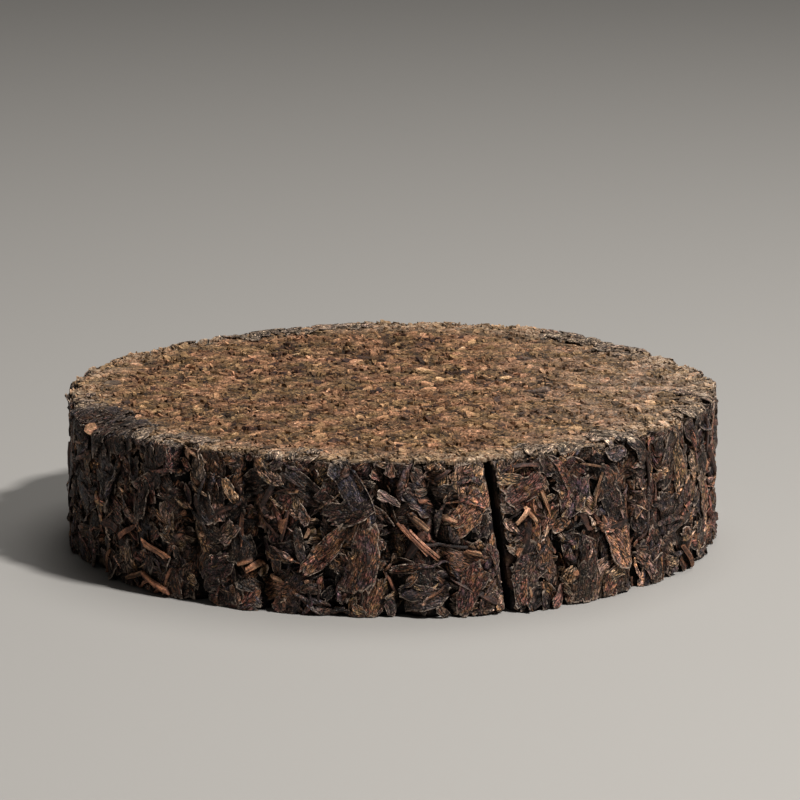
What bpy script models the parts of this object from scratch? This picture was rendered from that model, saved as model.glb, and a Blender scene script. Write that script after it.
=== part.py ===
"""A round slice of dark tea, sawn across from a log of leaves pressed hard in a slatted basket.

The slice is one solid. Its side keeps the print of the basket: upright strips that bulge a little,
parted by slanting grooves, one of them a deep narrow slot. Leaves and stalks pressed into the side
and chips left by the saw on the top are fused to it as relief.

Lengths are in metres, angles in degrees. A bearing is the angle round the slice, 0 at the front
(-Y) and 90 on the right (+X). A line is the bearing at mid height of one of the basket's slanting
lines, so a point of the side is named by its line and its height.
"""

import math
import random
from typing import NamedTuple

import bmesh
import bpy
from mathutils import Matrix, Vector

MM = 0.001

# Driving sizes
RADIUS = 98.5 * MM
THICKNESS = 46.5 * MM
# Wide swells of the outline, as (waves round the slice, height, bearing of a crest)
OUTLINE_SWELLS = (
    (2, 1.5 * MM, -23.0),
    (3, 1.2 * MM, 45.0),
    (4, 0.9 * MM, -3.0),
    (5, 0.8 * MM, 27.0),
)
# Lumps of the side, as (waves round the slice, turn from foot to rim, height, bearing of a crest)
LUMPS = (
    (7, 110.0, 0.45 * MM, 12.0),
    (13, -190.0, 0.4 * MM, 31.0),
    (22, 240.0, 0.3 * MM, 5.0),
    (37, -330.0, 0.25 * MM, 2.0),
)

# How far round the basket's lines creep between the top and the bottom
GROOVE_TWIST = 4.2
STRIP_BULGE = 1.0 * MM
# The grooves of the front half, as (line, depth, half width)
FRONT_GROOVES = (
    (-76.0, 2.2 * MM, 2.6 * MM),
    (-63.5, 3.4 * MM, 2.6 * MM),
    (-50.0, 2.2 * MM, 2.4 * MM),
    (-36.5, 4.2 * MM, 2.6 * MM),
    (-23.5, 4.6 * MM, 2.2 * MM),
    (-12.5, 2.0 * MM, 2.6 * MM),
    (-0.5, 4.0 * MM, 3.6 * MM),
    (7.6, 3.0 * MM, 1.8 * MM),
    (17.9, 1.6 * MM, 2.2 * MM),
    (28.3, 3.0 * MM, 1.7 * MM),
    (37.0, 1.4 * MM, 2.4 * MM),
    (45.5, 3.4 * MM, 2.2 * MM),
    (54.0, 2.6 * MM, 2.0 * MM),
    (66.0, 3.0 * MM, 2.4 * MM),
    (78.0, 2.4 * MM, 2.6 * MM),
)
BACK_GROOVES = 17
BACK_GROOVE_JITTER = 0.2  # of the step between them
BACK_GROOVE_DEPTH = (1.6 * MM, 4.4 * MM)
BACK_GROOVE_HALF_WIDTH = (1.8 * MM, 3.2 * MM)
GROOVE_SHARPNESS = 1.5
# A strip's shoulder lies this many half widths from the middle of its groove
SHOULDER = 1.3
# Pressed pieces reach past the shoulder, to this many half widths from the middle of the groove
PIECE_EDGE = 0.75

SLOT_LINE = 17.9
SLOT_DEPTH = 9.0 * MM
SLOT_MOUTH = 2.6 * MM
SLOT_FLOOR = 1.6 * MM
SLOT_CAP = 1.2 * MM
# The slot's cutter reaches this far out of the side and below the base
CUTTER_REACH = 8.0 * MM

SIDE_ROWS = 8
RIM_CRUMBLE = (0.2 * MM, 1.0 * MM)
RIM_WIDTH = 2.2 * MM
FOOT_HEIGHT = 1.6 * MM
FOOT_INSET = (0.4 * MM, 2.4 * MM)

LEAVES_IN_STRIP = 4
LEAF_LENGTH = (10.0 * MM, 20.0 * MM)
LEAF_WIDTH = (5.5 * MM, 10.0 * MM)
LEAF_PROUD = (0.8 * MM, 1.9 * MM)
LEAF_TURN = 38.0  # spread, from upright
LEAF_LEAN = 0.55  # how much prouder one edge is than the middle, as a share
LEAF_SUNK = 1.8 * MM
LEAF_RIDGE = 0.7 * MM
# A leaf's corners, as shares of its half length and half width
LEAF_CORNERS = ((1.0, 0.0), (0.35, 0.9), (-0.45, 1.0), (-1.0, 0.1), (-0.4, -0.95), (0.45, -1.0))
LEAF_RAGGED = (0.85, 1.1)
LEAF_UNEVEN = 0.25

STALKS = 34
STALK_LENGTH = (7.0 * MM, 19.0 * MM)
STALK_THICKNESS = (1.8 * MM, 3.2 * MM)
STALK_TURN = (20.0, 48.0)  # mean and spread, from upright
STALK_TAPER = (0.55, 0.9)
STALK_SLANT = 0.8  # of the radius, at its broken ends
STALK_LIFT = 0.5  # of the radius, at most
STALK_SIDES = 5

CHIPS = 56
CHIP_RADIUS = (1.6 * MM, 3.6 * MM)
CHIP_SQUEEZE = (0.4, 0.9)
CHIP_PROUD = (0.4 * MM, 0.9 * MM)
CHIP_EDGE = (0.6, 1.0)  # of the chip's height, at its corners
CHIP_TOP = 0.8  # of the chip's radius
CHIP_SUNK = 1.2 * MM
CHIP_MARGIN = 8.0 * MM
CHIP_SIDES = 5

# Relief on the side stays this far inside the two sawn faces
SAW_MARGIN = (1.2 * MM, 1.2 * MM)
# An even power: the higher it is, the later a piece is eased back from its limits
EASE_POWER = 4
SEED = 64

TEA_COLOUR = (0.055, 0.036, 0.024, 1.0)
TEA_ROUGHNESS = 0.85


class Leaf(NamedTuple):
    """Where a pressed leaf lies, and its size."""

    strip: tuple
    line: float
    height: float
    length: float
    width: float
    proud: float
    turn: float
    lean: float


class Stalk(NamedTuple):
    """Where a pressed stalk lies, and its size."""

    strip: tuple
    line: float
    height: float
    length: float
    thickness: float
    turn: float
    taper: float
    lift: float


class Chip(NamedTuple):
    """Where a sawn chip lies on the top, and its size."""

    bearing: float
    distance: float
    radius: float
    squeeze: float
    proud: float
    turn: float


def all_grooves():
    """Every groove as (line, depth, half width), in order round the slice from the left."""
    draw = random.Random(SEED)
    first, last = FRONT_GROOVES[0][0], FRONT_GROOVES[-1][0]
    step = (360.0 - (last - first)) / (BACK_GROOVES + 1)
    grooves = list(FRONT_GROOVES)
    for place in range(1, BACK_GROOVES + 1):
        line = last + step * (place + draw.uniform(-BACK_GROOVE_JITTER, BACK_GROOVE_JITTER))
        depth = draw.uniform(*BACK_GROOVE_DEPTH)
        half_width = draw.uniform(*BACK_GROOVE_HALF_WIDTH)
        grooves.append((line, depth, half_width))
    return grooves


GROOVES = all_grooves()


def strips_between(edge):
    """The strips between neighbouring grooves, as (left, right) lines this many half widths off."""
    strips = []
    for index, (groove, _, half_width) in enumerate(GROOVES):
        following, _, next_half_width = GROOVES[(index + 1) % len(GROOVES)]
        if following < groove:
            following += 360.0
        left = groove + math.degrees(edge * half_width / RADIUS)
        right = following - math.degrees(edge * next_half_width / RADIUS)
        strips.append((left, right))
    return strips


SHOULDERS = strips_between(SHOULDER)
STRIPS = strips_between(PIECE_EDGE)


def leaf_places():
    """The leaves, spread evenly over every strip, from the foot to the rim."""
    draw = random.Random(SEED + 2)
    leaves = []
    for strip in STRIPS:
        for place in range(LEAVES_IN_STRIP):
            line = draw.uniform(*strip)
            height = THICKNESS * (place + draw.uniform(0.15, 0.85)) / LEAVES_IN_STRIP
            length = draw.uniform(*LEAF_LENGTH)
            width = draw.uniform(*LEAF_WIDTH)
            proud = draw.uniform(*LEAF_PROUD)
            turn = draw.gauss(0.0, LEAF_TURN)
            lean = draw.uniform(-LEAF_LEAN, LEAF_LEAN)
            leaves.append(Leaf(strip, line, height, length, width, proud, turn, lean))
    return leaves


def stalk_places():
    """The stalks, one in about every strip."""
    draw = random.Random(SEED + 3)
    stalks = []
    for number in range(STALKS):
        strip = STRIPS[number * len(STRIPS) // STALKS]
        line = draw.uniform(*strip)
        height = THICKNESS * draw.uniform(0.12, 0.88)
        length = draw.uniform(*STALK_LENGTH)
        thickness = draw.uniform(*STALK_THICKNESS)
        turn = draw.gauss(*STALK_TURN)
        taper = draw.uniform(*STALK_TAPER)
        lift = draw.uniform(0.0, STALK_LIFT)
        stalks.append(Stalk(strip, line, height, length, thickness, turn, taper, lift))
    return stalks


def chip_places():
    """The chips, spread evenly over the top."""
    draw = random.Random(SEED + 4)
    chips = []
    for _ in range(CHIPS):
        bearing = draw.uniform(0.0, 360.0)
        distance = (RADIUS - CHIP_MARGIN) * math.sqrt(draw.random())
        radius = draw.uniform(*CHIP_RADIUS)
        squeeze = draw.uniform(*CHIP_SQUEEZE)
        proud = draw.uniform(*CHIP_PROUD)
        turn = draw.uniform(0.0, 360.0)
        chips.append(Chip(bearing, distance, radius, squeeze, proud, turn))
    return chips


def line_through(bearing, height):
    """The line that passes through this bearing at this height."""
    return bearing + GROOVE_TWIST * (height / THICKNESS - 0.5)


def bearing_of(line, height):
    """The bearing that a line has reached at this height."""
    return line - GROOVE_TWIST * (height / THICKNESS - 0.5)


def outline_radius(line):
    """The radius of the plain outline, with its wide swells and without strips or grooves."""
    swells = (
        height * math.cos(math.radians(waves * (line - crest)))
        for waves, height, crest in OUTLINE_SWELLS
    )
    return RADIUS + sum(swells)


def arc_between(line, other):
    """The distance along the outline from one line to another, the short way round."""
    turn = (line - other + 180.0) % 360.0 - 180.0
    return math.radians(turn) * RADIUS


def lump(line, height):
    """The uneven swelling of the pressed leaves: slanting waves that cross each other."""
    rise = height / THICKNESS
    waves = (
        size * math.cos(math.radians(count * (line - crest) + turn * rise))
        for count, turn, size, crest in LUMPS
    )
    return sum(waves)


def side_radius(line, height):
    """The radius of the side: outline, bulging strips, grooves and lumps."""
    radius = outline_radius(line) + STRIP_BULGE + lump(line, height)
    for groove, depth, half_width in GROOVES:
        across = abs(arc_between(line, groove)) / half_width
        radius -= depth * math.exp(-(across**GROOVE_SHARPNESS))
    return radius


def on_circle(bearing, radius, height):
    """The point at a bearing, a radius and a height."""
    angle = math.radians(bearing)
    return Vector((radius * math.sin(angle), -radius * math.cos(angle), height))


def over_side(line, height, proud):
    """The point that stands proud of the side, on a line and at a height."""
    return on_circle(bearing_of(line, height), side_radius(line, height) + proud, height)


def column_lines():
    """The lines that the side's mesh follows: groove floors, shoulders and crowns."""
    lines = []
    for (groove, _, _), (left, right) in zip(GROOVES, SHOULDERS):
        lines += [groove, left, 0.5 * (left + right), right]
    return lines


def new_mesh_object(name, points, faces):
    """A mesh object made from points and faces, in the scene."""
    mesh = bpy.data.meshes.new(name)
    mesh.from_pydata([tuple(point) for point in points], [], faces)
    mesh.validate()
    obj = bpy.data.objects.new(name, mesh)
    bpy.context.scene.collection.objects.link(obj)
    return obj


def make_core():
    """The pressed body: a flat base, a chipped foot, the fluted side, a crumbling rim, a sawn top."""
    draw = random.Random(SEED + 1)
    lines = column_lines()
    rings = []
    base = []
    for line in lines:
        radius = side_radius(line, FOOT_HEIGHT) - draw.uniform(*FOOT_INSET)
        base.append(on_circle(bearing_of(line, FOOT_HEIGHT), radius, 0.0))
    rings.append(base)
    low, high = FOOT_HEIGHT, THICKNESS - RIM_CRUMBLE[1]
    for row in range(SIDE_ROWS + 1):
        height = low + (high - low) * row / SIDE_ROWS
        rings.append([over_side(line, height, 0.0) for line in lines])
    for point in rings[-1]:
        point.z = THICKNESS - draw.uniform(*RIM_CRUMBLE)
    rings.append([over_side(line, THICKNESS, -RIM_WIDTH) for line in lines])

    points = [point for ring in rings for point in ring]
    count = len(lines)
    faces = [list(range(count))[::-1]]
    for ring in range(len(rings) - 1):
        lower, upper = ring * count, (ring + 1) * count
        for column in range(count):
            beside = (column + 1) % count
            faces.append([lower + column, lower + beside, upper + beside, upper + column])
    faces.append([(len(rings) - 1) * count + column for column in range(count)])
    return new_mesh_object("tea_cake", points, faces)


def eased(value, low, high):
    """The value, eased back near both limits so that it stays between low and high."""
    middle, half = 0.5 * (low + high), 0.5 * (high - low)
    share = (value - middle) / half
    return middle + half * share / (1.0 + share**EASE_POWER) ** (1.0 / EASE_POWER)


def beside_place(place, across, along, proud):
    """A point of a pressed piece, at a distance across and along from the piece's own place.

    It stays on its strip, where the basket cut it off, and between the two sawn faces.
    """
    height = eased(place.height + along, SAW_MARGIN[0], THICKNESS - SAW_MARGIN[1])
    turned_line = line_through(bearing_of(place.line, place.height), height)
    line = eased(turned_line + math.degrees(across / RADIUS), *place.strip)
    return over_side(line, height, proud)


def turned(u, v, turn):
    """A length u and a width v on a piece, as (across, along) on the side after the piece's turn."""
    angle = math.radians(turn)
    across = u * math.sin(angle) + v * math.cos(angle)
    along = u * math.cos(angle) - v * math.sin(angle)
    return across, along


def plate_faces(sides):
    """Faces of a plate: a fan over a raised middle point, a skirt, and an underside."""
    middle = 2 * sides
    faces = []
    for side in range(sides):
        beside = (side + 1) % sides
        faces.append([middle, side, beside])
        faces.append([side, sides + side, sides + beside, beside])
    faces.append([sides + side for side in range(sides)][::-1])
    return faces


def make_leaf(draw, leaf):
    """A leaf pressed flat on the side: a six-cornered plate with a low middle ridge."""
    tops, unders = [], []
    for along_share, across_share in LEAF_CORNERS:
        ragged = draw.uniform(*LEAF_RAGGED)
        u = 0.5 * leaf.length * along_share * ragged
        v = 0.5 * leaf.width * across_share * ragged
        across, along = turned(u, v, leaf.turn)
        uneven = draw.uniform(-LEAF_UNEVEN, LEAF_UNEVEN)
        proud = leaf.proud * (1.0 + leaf.lean * across_share + uneven)
        tops.append(beside_place(leaf, across, along, proud))
        unders.append(beside_place(leaf, across, along, -LEAF_SUNK))
    middle = beside_place(leaf, 0.0, 0.0, leaf.proud + LEAF_RIDGE)
    return new_mesh_object("leaf", tops + unders + [middle], plate_faces(len(LEAF_CORNERS)))


def make_stalk(draw, stalk):
    """A stalk pressed half into the side: a tapering prism with slanting broken ends."""
    points = []
    for end, size in ((-1.0, 1.0), (1.0, stalk.taper)):
        radius = 0.5 * stalk.thickness * size
        slant = draw.uniform(-STALK_SLANT, STALK_SLANT) * radius
        for side in range(STALK_SIDES):
            angle = math.tau * side / STALK_SIDES
            u = 0.5 * end * stalk.length + slant * math.cos(angle)
            v = radius * math.cos(angle)
            across, along = turned(u, v, stalk.turn)
            proud = 0.5 * stalk.lift * stalk.thickness + radius * math.sin(angle)
            points.append(beside_place(stalk, across, along, proud))
    near, far = list(range(STALK_SIDES)), list(range(STALK_SIDES, 2 * STALK_SIDES))
    faces = [near[::-1], far]
    for side in range(STALK_SIDES):
        beside = (side + 1) % STALK_SIDES
        faces.append([near[side], near[beside], far[beside], far[side]])
    return new_mesh_object("stalk", points, faces)


def make_chip(draw, chip):
    """A chip of stalk or leaf that the saw left standing a little above the top."""
    centre = on_circle(chip.bearing, chip.distance, THICKNESS)
    turn = Matrix.Rotation(math.radians(chip.turn), 3, "Z")
    up = Vector((0.0, 0.0, 1.0))
    tops, unders = [], []
    for side in range(CHIP_SIDES):
        angle = math.tau * side / CHIP_SIDES
        flat = turn @ Vector((math.cos(angle), chip.squeeze * math.sin(angle), 0.0)) * chip.radius
        proud = chip.proud * draw.uniform(*CHIP_EDGE)
        tops.append(centre + CHIP_TOP * flat + proud * up)
        unders.append(centre + flat - CHIP_SUNK * up)
    middle = centre + chip.proud * up
    return new_mesh_object("chip", tops + unders + [middle], plate_faces(CHIP_SIDES))


def make_relief():
    """Every fused piece: leaves and stalks on the side, and chips on the top."""
    draw = random.Random(SEED + 5)
    pieces = [make_leaf(draw, leaf) for leaf in leaf_places()]
    pieces += [make_stalk(draw, stalk) for stalk in stalk_places()]
    pieces += [make_chip(draw, chip) for chip in chip_places()]
    return pieces


def make_slot_cutter():
    """The wedge that cuts the deep slot, slanting with the basket's lines, under a thin cap."""
    points = []
    for height in (-CUTTER_REACH, THICKNESS - SLOT_CAP):
        bearing = bearing_of(SLOT_LINE, height)
        inner = outline_radius(SLOT_LINE) - SLOT_DEPTH
        mouth = math.degrees(0.5 * SLOT_MOUTH / RADIUS)
        floor = math.degrees(0.5 * SLOT_FLOOR / RADIUS)
        points.append(on_circle(bearing - mouth, RADIUS + CUTTER_REACH, height))
        points.append(on_circle(bearing + mouth, RADIUS + CUTTER_REACH, height))
        points.append(on_circle(bearing + floor, inner, height))
        points.append(on_circle(bearing - floor, inner, height))
    faces = [[0, 1, 2, 3], [7, 6, 5, 4]]
    for side in range(4):
        beside = (side + 1) % 4
        faces.append([side, side + 4, beside + 4, beside])
    return new_mesh_object("slot_cutter", points, faces)


def face_outwards(obj):
    """Turns every face of a closed mesh outwards."""
    shape = bmesh.new()
    shape.from_mesh(obj.data)
    bmesh.ops.recalc_face_normals(shape, faces=shape.faces)
    shape.to_mesh(obj.data)
    shape.free()


def apply_boolean(obj, operation, collection=None, cutter=None):
    """Joins a collection to the object, or cuts a cutter from it, and keeps the result as its mesh."""
    modifier = obj.modifiers.new(operation.lower(), "BOOLEAN")
    modifier.operation = operation
    modifier.solver = "MANIFOLD"
    if collection is not None:
        modifier.operand_type = "COLLECTION"
        modifier.collection = collection
    else:
        modifier.object = cutter
    graph = bpy.context.evaluated_depsgraph_get()
    result = bpy.data.meshes.new_from_object(obj.evaluated_get(graph))
    obj.modifiers.clear()
    obj.data = result


def fuse(core, pieces):
    """Fuses the relief pieces to the core, then removes them."""
    relief = bpy.data.collections.new("relief")
    bpy.context.scene.collection.children.link(relief)
    for piece in pieces:
        face_outwards(piece)
        relief.objects.link(piece)
        bpy.context.scene.collection.objects.unlink(piece)
    apply_boolean(core, "UNION", collection=relief)
    for piece in pieces:
        bpy.data.objects.remove(piece)
    bpy.data.collections.remove(relief)


def cut(obj, cutter):
    """Cuts the cutter from the object, then removes it."""
    face_outwards(cutter)
    apply_boolean(obj, "DIFFERENCE", cutter=cutter)
    bpy.data.objects.remove(cutter)


def shell_of(start, seen):
    """The faces joined to the first one, edge by edge."""
    seen.add(start)
    shell, queue = [], [start]
    while queue:
        face = queue.pop()
        shell.append(face)
        for edge in face.edges:
            beside = [other for other in edge.link_faces if other not in seen]
            seen.update(beside)
            queue += beside
    return shell


def drop_scraps(obj):
    """Keeps the largest shell of the mesh: a smaller one is a loose scrap, or a hollow it fills."""
    shape = bmesh.new()
    shape.from_mesh(obj.data)
    seen, shells = set(), []
    for face in shape.faces:
        if face not in seen:
            shells.append(shell_of(face, seen))
    shells.sort(key=len)
    for shell in shells[:-1]:
        bmesh.ops.delete(shape, geom=shell, context="FACES")
    shape.to_mesh(obj.data)
    shape.free()


def tea_material():
    """Dull, dark brown pressed tea."""
    material = bpy.data.materials.new("pressed_tea")
    material.use_nodes = True
    shader = material.node_tree.nodes["Principled BSDF"]
    shader.inputs["Base Color"].default_value = TEA_COLOUR
    shader.inputs["Roughness"].default_value = TEA_ROUGHNESS
    shader.inputs["Metallic"].default_value = 0.0
    material.diffuse_color = TEA_COLOUR
    return material


def main():
    """Clears the scene and builds the slice."""
    for obj in list(bpy.data.objects):
        bpy.data.objects.remove(obj)
    cake = make_core()
    face_outwards(cake)
    fuse(cake, make_relief())
    cut(cake, make_slot_cutter())
    drop_scraps(cake)
    cake.data.materials.clear()
    cake.data.materials.append(tea_material())


main()
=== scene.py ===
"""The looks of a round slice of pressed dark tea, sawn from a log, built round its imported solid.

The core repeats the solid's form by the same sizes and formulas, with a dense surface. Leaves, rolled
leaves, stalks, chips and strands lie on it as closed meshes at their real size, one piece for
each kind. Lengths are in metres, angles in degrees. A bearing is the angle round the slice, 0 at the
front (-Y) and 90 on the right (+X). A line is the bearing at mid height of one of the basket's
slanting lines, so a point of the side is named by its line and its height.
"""

import itertools
import logging
import math
import random
from dataclasses import dataclass, field, replace
from enum import Enum
from typing import Sequence

import bpy
import numpy as np
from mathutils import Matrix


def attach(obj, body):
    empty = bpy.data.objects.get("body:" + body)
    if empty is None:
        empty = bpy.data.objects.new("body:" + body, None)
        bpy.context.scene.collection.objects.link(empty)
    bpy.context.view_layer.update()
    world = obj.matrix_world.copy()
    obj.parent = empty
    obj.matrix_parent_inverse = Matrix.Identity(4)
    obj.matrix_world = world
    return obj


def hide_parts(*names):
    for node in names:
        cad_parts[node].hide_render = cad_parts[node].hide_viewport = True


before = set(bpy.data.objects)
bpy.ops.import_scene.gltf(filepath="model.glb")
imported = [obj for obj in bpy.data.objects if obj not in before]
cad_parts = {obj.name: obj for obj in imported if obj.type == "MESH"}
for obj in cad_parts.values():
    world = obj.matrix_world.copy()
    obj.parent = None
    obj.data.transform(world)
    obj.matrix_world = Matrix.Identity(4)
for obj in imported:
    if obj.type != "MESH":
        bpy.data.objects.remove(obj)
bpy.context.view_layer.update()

Array = np.ndarray
Arrays = tuple[Array, ...]
Colour = tuple[float, float, float]
Material = bpy.types.Material
Object = bpy.types.Object
Socket = bpy.types.NodeSocket
MM = 0.001
NODE = "tea_cake"
BODY = "root"
BAKE_MAP = "OFBake"
LOWEST = 0.02 * MM

log = logging.getLogger(NODE)


def mm(*values: float) -> tuple[float, ...]:
    """Lengths in metres, from millimetres."""
    return tuple(value * MM for value in values)


def srgb(*screen: float) -> Colour:
    """A linear colour from its three screen values of 0 to 255."""
    values = np.array(screen) / 255.0
    linear = np.where(values <= 0.04045, values / 12.92, ((values + 0.055) / 1.055) ** 2.4)
    return tuple(linear.tolist())


def softly(distance: Array, soft: float) -> Array:
    """The mean of the distance and sqrt(distance^2 + soft^2), which is never under 0."""
    return 0.5 * (distance + np.sqrt(distance**2 + soft**2))


def held(value: Array, low: Array, high: Array, soft: float) -> Array:
    """Values kept above low and below high, turned off softly."""
    value = low + softly(value - low, soft)
    return high - softly(high - value, soft)


def fitted(value: Array, low: Array, high: Array, share: float) -> Array:
    """Each piece's values moved as one, by this share of what reaches past either limit."""
    least, most = value.min((1, 2), keepdims=True), value.max((1, 2), keepdims=True)
    return value + share * (np.maximum(low - least, 0.0) - np.maximum(most - high, 0.0))


def smooth_step(value: Array, low: float, high: float) -> Array:
    """0 below low, 1 above high, and 3t^2 - 2t^3 between."""
    t = np.clip((value - low) / (high - low), 0.0, 1.0)
    return t * t * (3.0 - 2.0 * t)


def short_way(angle: Array) -> Array:
    """The same turn the short way round, from -180 to 180."""
    return (angle + 180.0) % 360.0 - 180.0


def turned(x: Array, y: Array, angle: Array) -> Arrays:
    """Both coordinates after a turn, with the angle in radians."""
    return x * np.cos(angle) - y * np.sin(angle), x * np.sin(angle) + y * np.cos(angle)


def per_piece(values: Array) -> Array:
    """One value for each piece, shaped to meet every point of its grid."""
    return values[:, None, None]


class Grain:
    """Smooth random values over space, from random numbers on the corners of a lattice."""

    TABLE = 4096
    HASH = (73856093, 19349663, 83492791)

    def __init__(self, seed: int) -> None:
        """Fills the table of random numbers from -1 to 1."""
        self.values = np.random.default_rng(seed).uniform(-1.0, 1.0, self.TABLE)

    def corner(self, cell: Array) -> Array:
        """The random number of a lattice corner, by a hash of its three whole coordinates."""
        mixed = np.bitwise_xor.reduce(cell * self.HASH, axis=-1)
        return self.values[mixed & (self.TABLE - 1)]

    def at(self, points: Array, size: float) -> Array:
        """Values from -1 to 1 at the points, blended between lattice corners a size apart.

        Args:
            points: places, as an array of shape (..., 3).
            size: the width of a lump, in metres.

        Returns:
            One value for each place.
        """
        place = points / size
        cell = np.floor(place).astype(np.int64)
        part = place - cell
        part = part * part * (3.0 - 2.0 * part)
        total = np.zeros(points.shape[:-1])
        for step in itertools.product((0, 1), repeat=3):
            weight = np.ones(points.shape[:-1])
            for axis, up in enumerate(step):
                weight = weight * (part[..., axis] if up else 1.0 - part[..., axis])
            total += weight * self.corner(cell + np.array(step))
        return total

    def layered(self, points: Array, size: float, layers: int) -> Array:
        """Lumps with smaller lumps on them, each layer half as wide and half as high."""
        total = np.zeros(points.shape[:-1])
        for layer in range(layers):
            total += self.at(points + layer * 7.3 * size, size / 2**layer) / 2**layer
        return total


@dataclass
class PressedForm:
    """The slice's form, from the same named sizes and formulas as its solid."""

    radius: float = 98.5 * MM
    thickness: float = 46.5 * MM
    swells: tuple = ((2, 1.5 * MM, -23.0), (3, 1.2 * MM, 45.0), (4, 0.9 * MM, -3.0), (5, 0.8 * MM, 27.0))
    lumps: tuple = (
        (7, 110.0, 0.45 * MM, 12.0), (13, -190.0, 0.4 * MM, 31.0), (22, 240.0, 0.3 * MM, 5.0),
        (37, -330.0, 0.25 * MM, 2.0),
    )
    twist: float = 4.2
    bulge: float = 1.0 * MM
    front_grooves: tuple = tuple((line, *mm(depth, half_width)) for line, depth, half_width in (
        (-76.0, 2.2, 2.6), (-63.5, 3.4, 2.6), (-50.0, 2.2, 2.4), (-36.5, 4.2, 2.6), (-23.5, 4.6, 2.2),
        (-12.5, 2.0, 2.6), (-0.5, 4.0, 3.6), (7.6, 3.0, 1.8), (17.9, 1.6, 2.2), (28.3, 3.0, 1.7),
        (37.0, 1.4, 2.4), (45.5, 3.4, 2.2), (54.0, 2.6, 2.0), (66.0, 3.0, 2.4), (78.0, 2.4, 2.6),
    ))
    back_grooves: int = 17
    back_jitter: float = 0.2
    back_depth: tuple = mm(1.6, 4.4)
    back_half_width: tuple = mm(1.8, 3.2)
    sharpness: float = 1.5
    shoulder: float = 1.3
    piece_edge: float = 0.75
    slot_line: float = 17.9
    slot_depth: float = 9.0 * MM
    slot_half_mouth: float = 1.15 * MM
    slot_half_floor: float = 0.8 * MM
    slot_cap: float = 1.2 * MM
    rim_crumble: tuple = mm(0.2, 1.0)
    rim_width: float = 2.2 * MM
    foot_height: float = 1.6 * MM
    foot_inset: tuple = mm(0.4, 2.4)
    clear: tuple = mm(0.15, 0.05)
    rim_wear: tuple = (
        (-62.0, 9.5, 12.0 * MM), (-44.0, 5.0, 1.8 * MM), (-14.0, 4.0, 1.4 * MM), (27.0, 4.0, 1.5 * MM),
        (43.0, 5.0, 2.6 * MM), (75.0, 8.0, 1.6 * MM), (135.0, 9.0, 3.0 * MM), (205.0, 12.0, 3.4 * MM),
    )
    wear_drop: float = 0.24
    seed: int = 64
    grooves: list = field(init=False)

    def __post_init__(self) -> None:
        """Draws the back's grooves as the solid does."""
        draw = random.Random(self.seed)
        first, last = self.front_grooves[0][0], self.front_grooves[-1][0]
        step = (360.0 - (last - first)) / (self.back_grooves + 1)
        self.grooves = list(self.front_grooves)
        for place in range(1, self.back_grooves + 1):
            line = last + step * (place + draw.uniform(-self.back_jitter, self.back_jitter))
            depth = draw.uniform(*self.back_depth)
            self.grooves.append((line, depth, draw.uniform(*self.back_half_width)))

    def strips(self, edge: float) -> Array:
        """The (left, right) lines of every strip, this many half widths off its grooves."""
        lines, _, half_widths = np.array(self.grooves).T
        beside = np.degrees(edge * half_widths / self.radius)
        following = np.roll(lines, -1)
        following[-1] += 360.0
        return np.stack([lines + beside, following - np.roll(beside, -1)], 1)

    def crumbled_edges(self) -> Arrays:
        """The solid's own foot and rim: lines, foot insets and rim heights, as the solid draws them."""
        draw = random.Random(self.seed + 1)
        lines = []
        for (groove, _, _), (left, right) in zip(self.grooves, self.strips(self.shoulder)):
            lines += [groove, left, 0.5 * (left + right), right]
        insets = [draw.uniform(*self.foot_inset) for _ in lines]
        rims = [self.thickness - draw.uniform(*self.rim_crumble) for _ in lines]
        return np.array(lines), np.array(insets), np.array(rims)

    def bearing_of(self, line: Array, height: Array) -> Array:
        """The bearing that a line has reached at a height."""
        return line - self.twist * (height / self.thickness - 0.5)

    def line_through(self, bearing: Array, height: Array) -> Array:
        """The line that passes through a bearing at a height."""
        return bearing + self.twist * (height / self.thickness - 0.5)

    def outline_radius(self, line: Array) -> Array:
        """The plain outline: the radius and the sum of its cosine swells."""
        swells = (h * np.cos(np.radians(waves * (line - crest))) for waves, h, crest in self.swells)
        return self.radius + sum(swells)

    def worn_width(self, bearing: Array) -> Array:
        """How much of the rim has crumbled off: width * exp(-(away / spread)^2), summed."""
        gaps = ((short_way(bearing - middle) / spread, width) for middle, spread, width in self.rim_wear)
        return sum(width * np.exp(-(gap**2)) for gap, width in gaps)

    def worn_drop(self, bearing: Array, inside: Array) -> Array:
        """How far the top has sunk this far inside the rim: a share of the worn width at the rim.

        It fades by a smooth step to nothing at 1.2 times that width.
        """
        worn = self.worn_width(bearing)
        return self.wear_drop * worn * smooth_step(-inside, -1.2 * worn - 0.01 * MM, 0.0)

    def top_level(self, x: Array, y: Array) -> Array:
        """The height of the worn top over places on it, and of the rim beyond it."""
        bearing = np.degrees(np.arctan2(x, -y))
        rim = self.side_radius(self.line_through(bearing, self.thickness), self.thickness)
        return self.thickness - self.worn_drop(bearing, np.maximum(rim - np.hypot(x, y), 0.0))

    def bareness_and_shade(self, points: Array) -> Array:
        """1 where the rim has crumbled off and dark leaf shows, and 0 elsewhere: there leaves lose their
        dust and get painted shade.
        """
        x, y, z = np.moveaxis(points, -1, 0)
        worn = smooth_step(self.worn_width(np.degrees(np.arctan2(x, -y))), 2.5 * MM, 7.0 * MM)
        return worn * smooth_step(z, self.thickness - 8.0 * MM, self.thickness - 3.5 * MM)

    def arc_between(self, line: Array, other: float) -> Array:
        """The distance along the outline from one line to another, the short way round."""
        return np.radians(short_way(line - other)) * self.radius

    def lump(self, line: Array, height: Array) -> Array:
        """The sum of slanting cosine waves that cross each other."""
        rise = height / self.thickness
        return sum(
            size * np.cos(np.radians(count * (line - crest) + turn * rise))
            for count, turn, size, crest in self.lumps
        )

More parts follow.
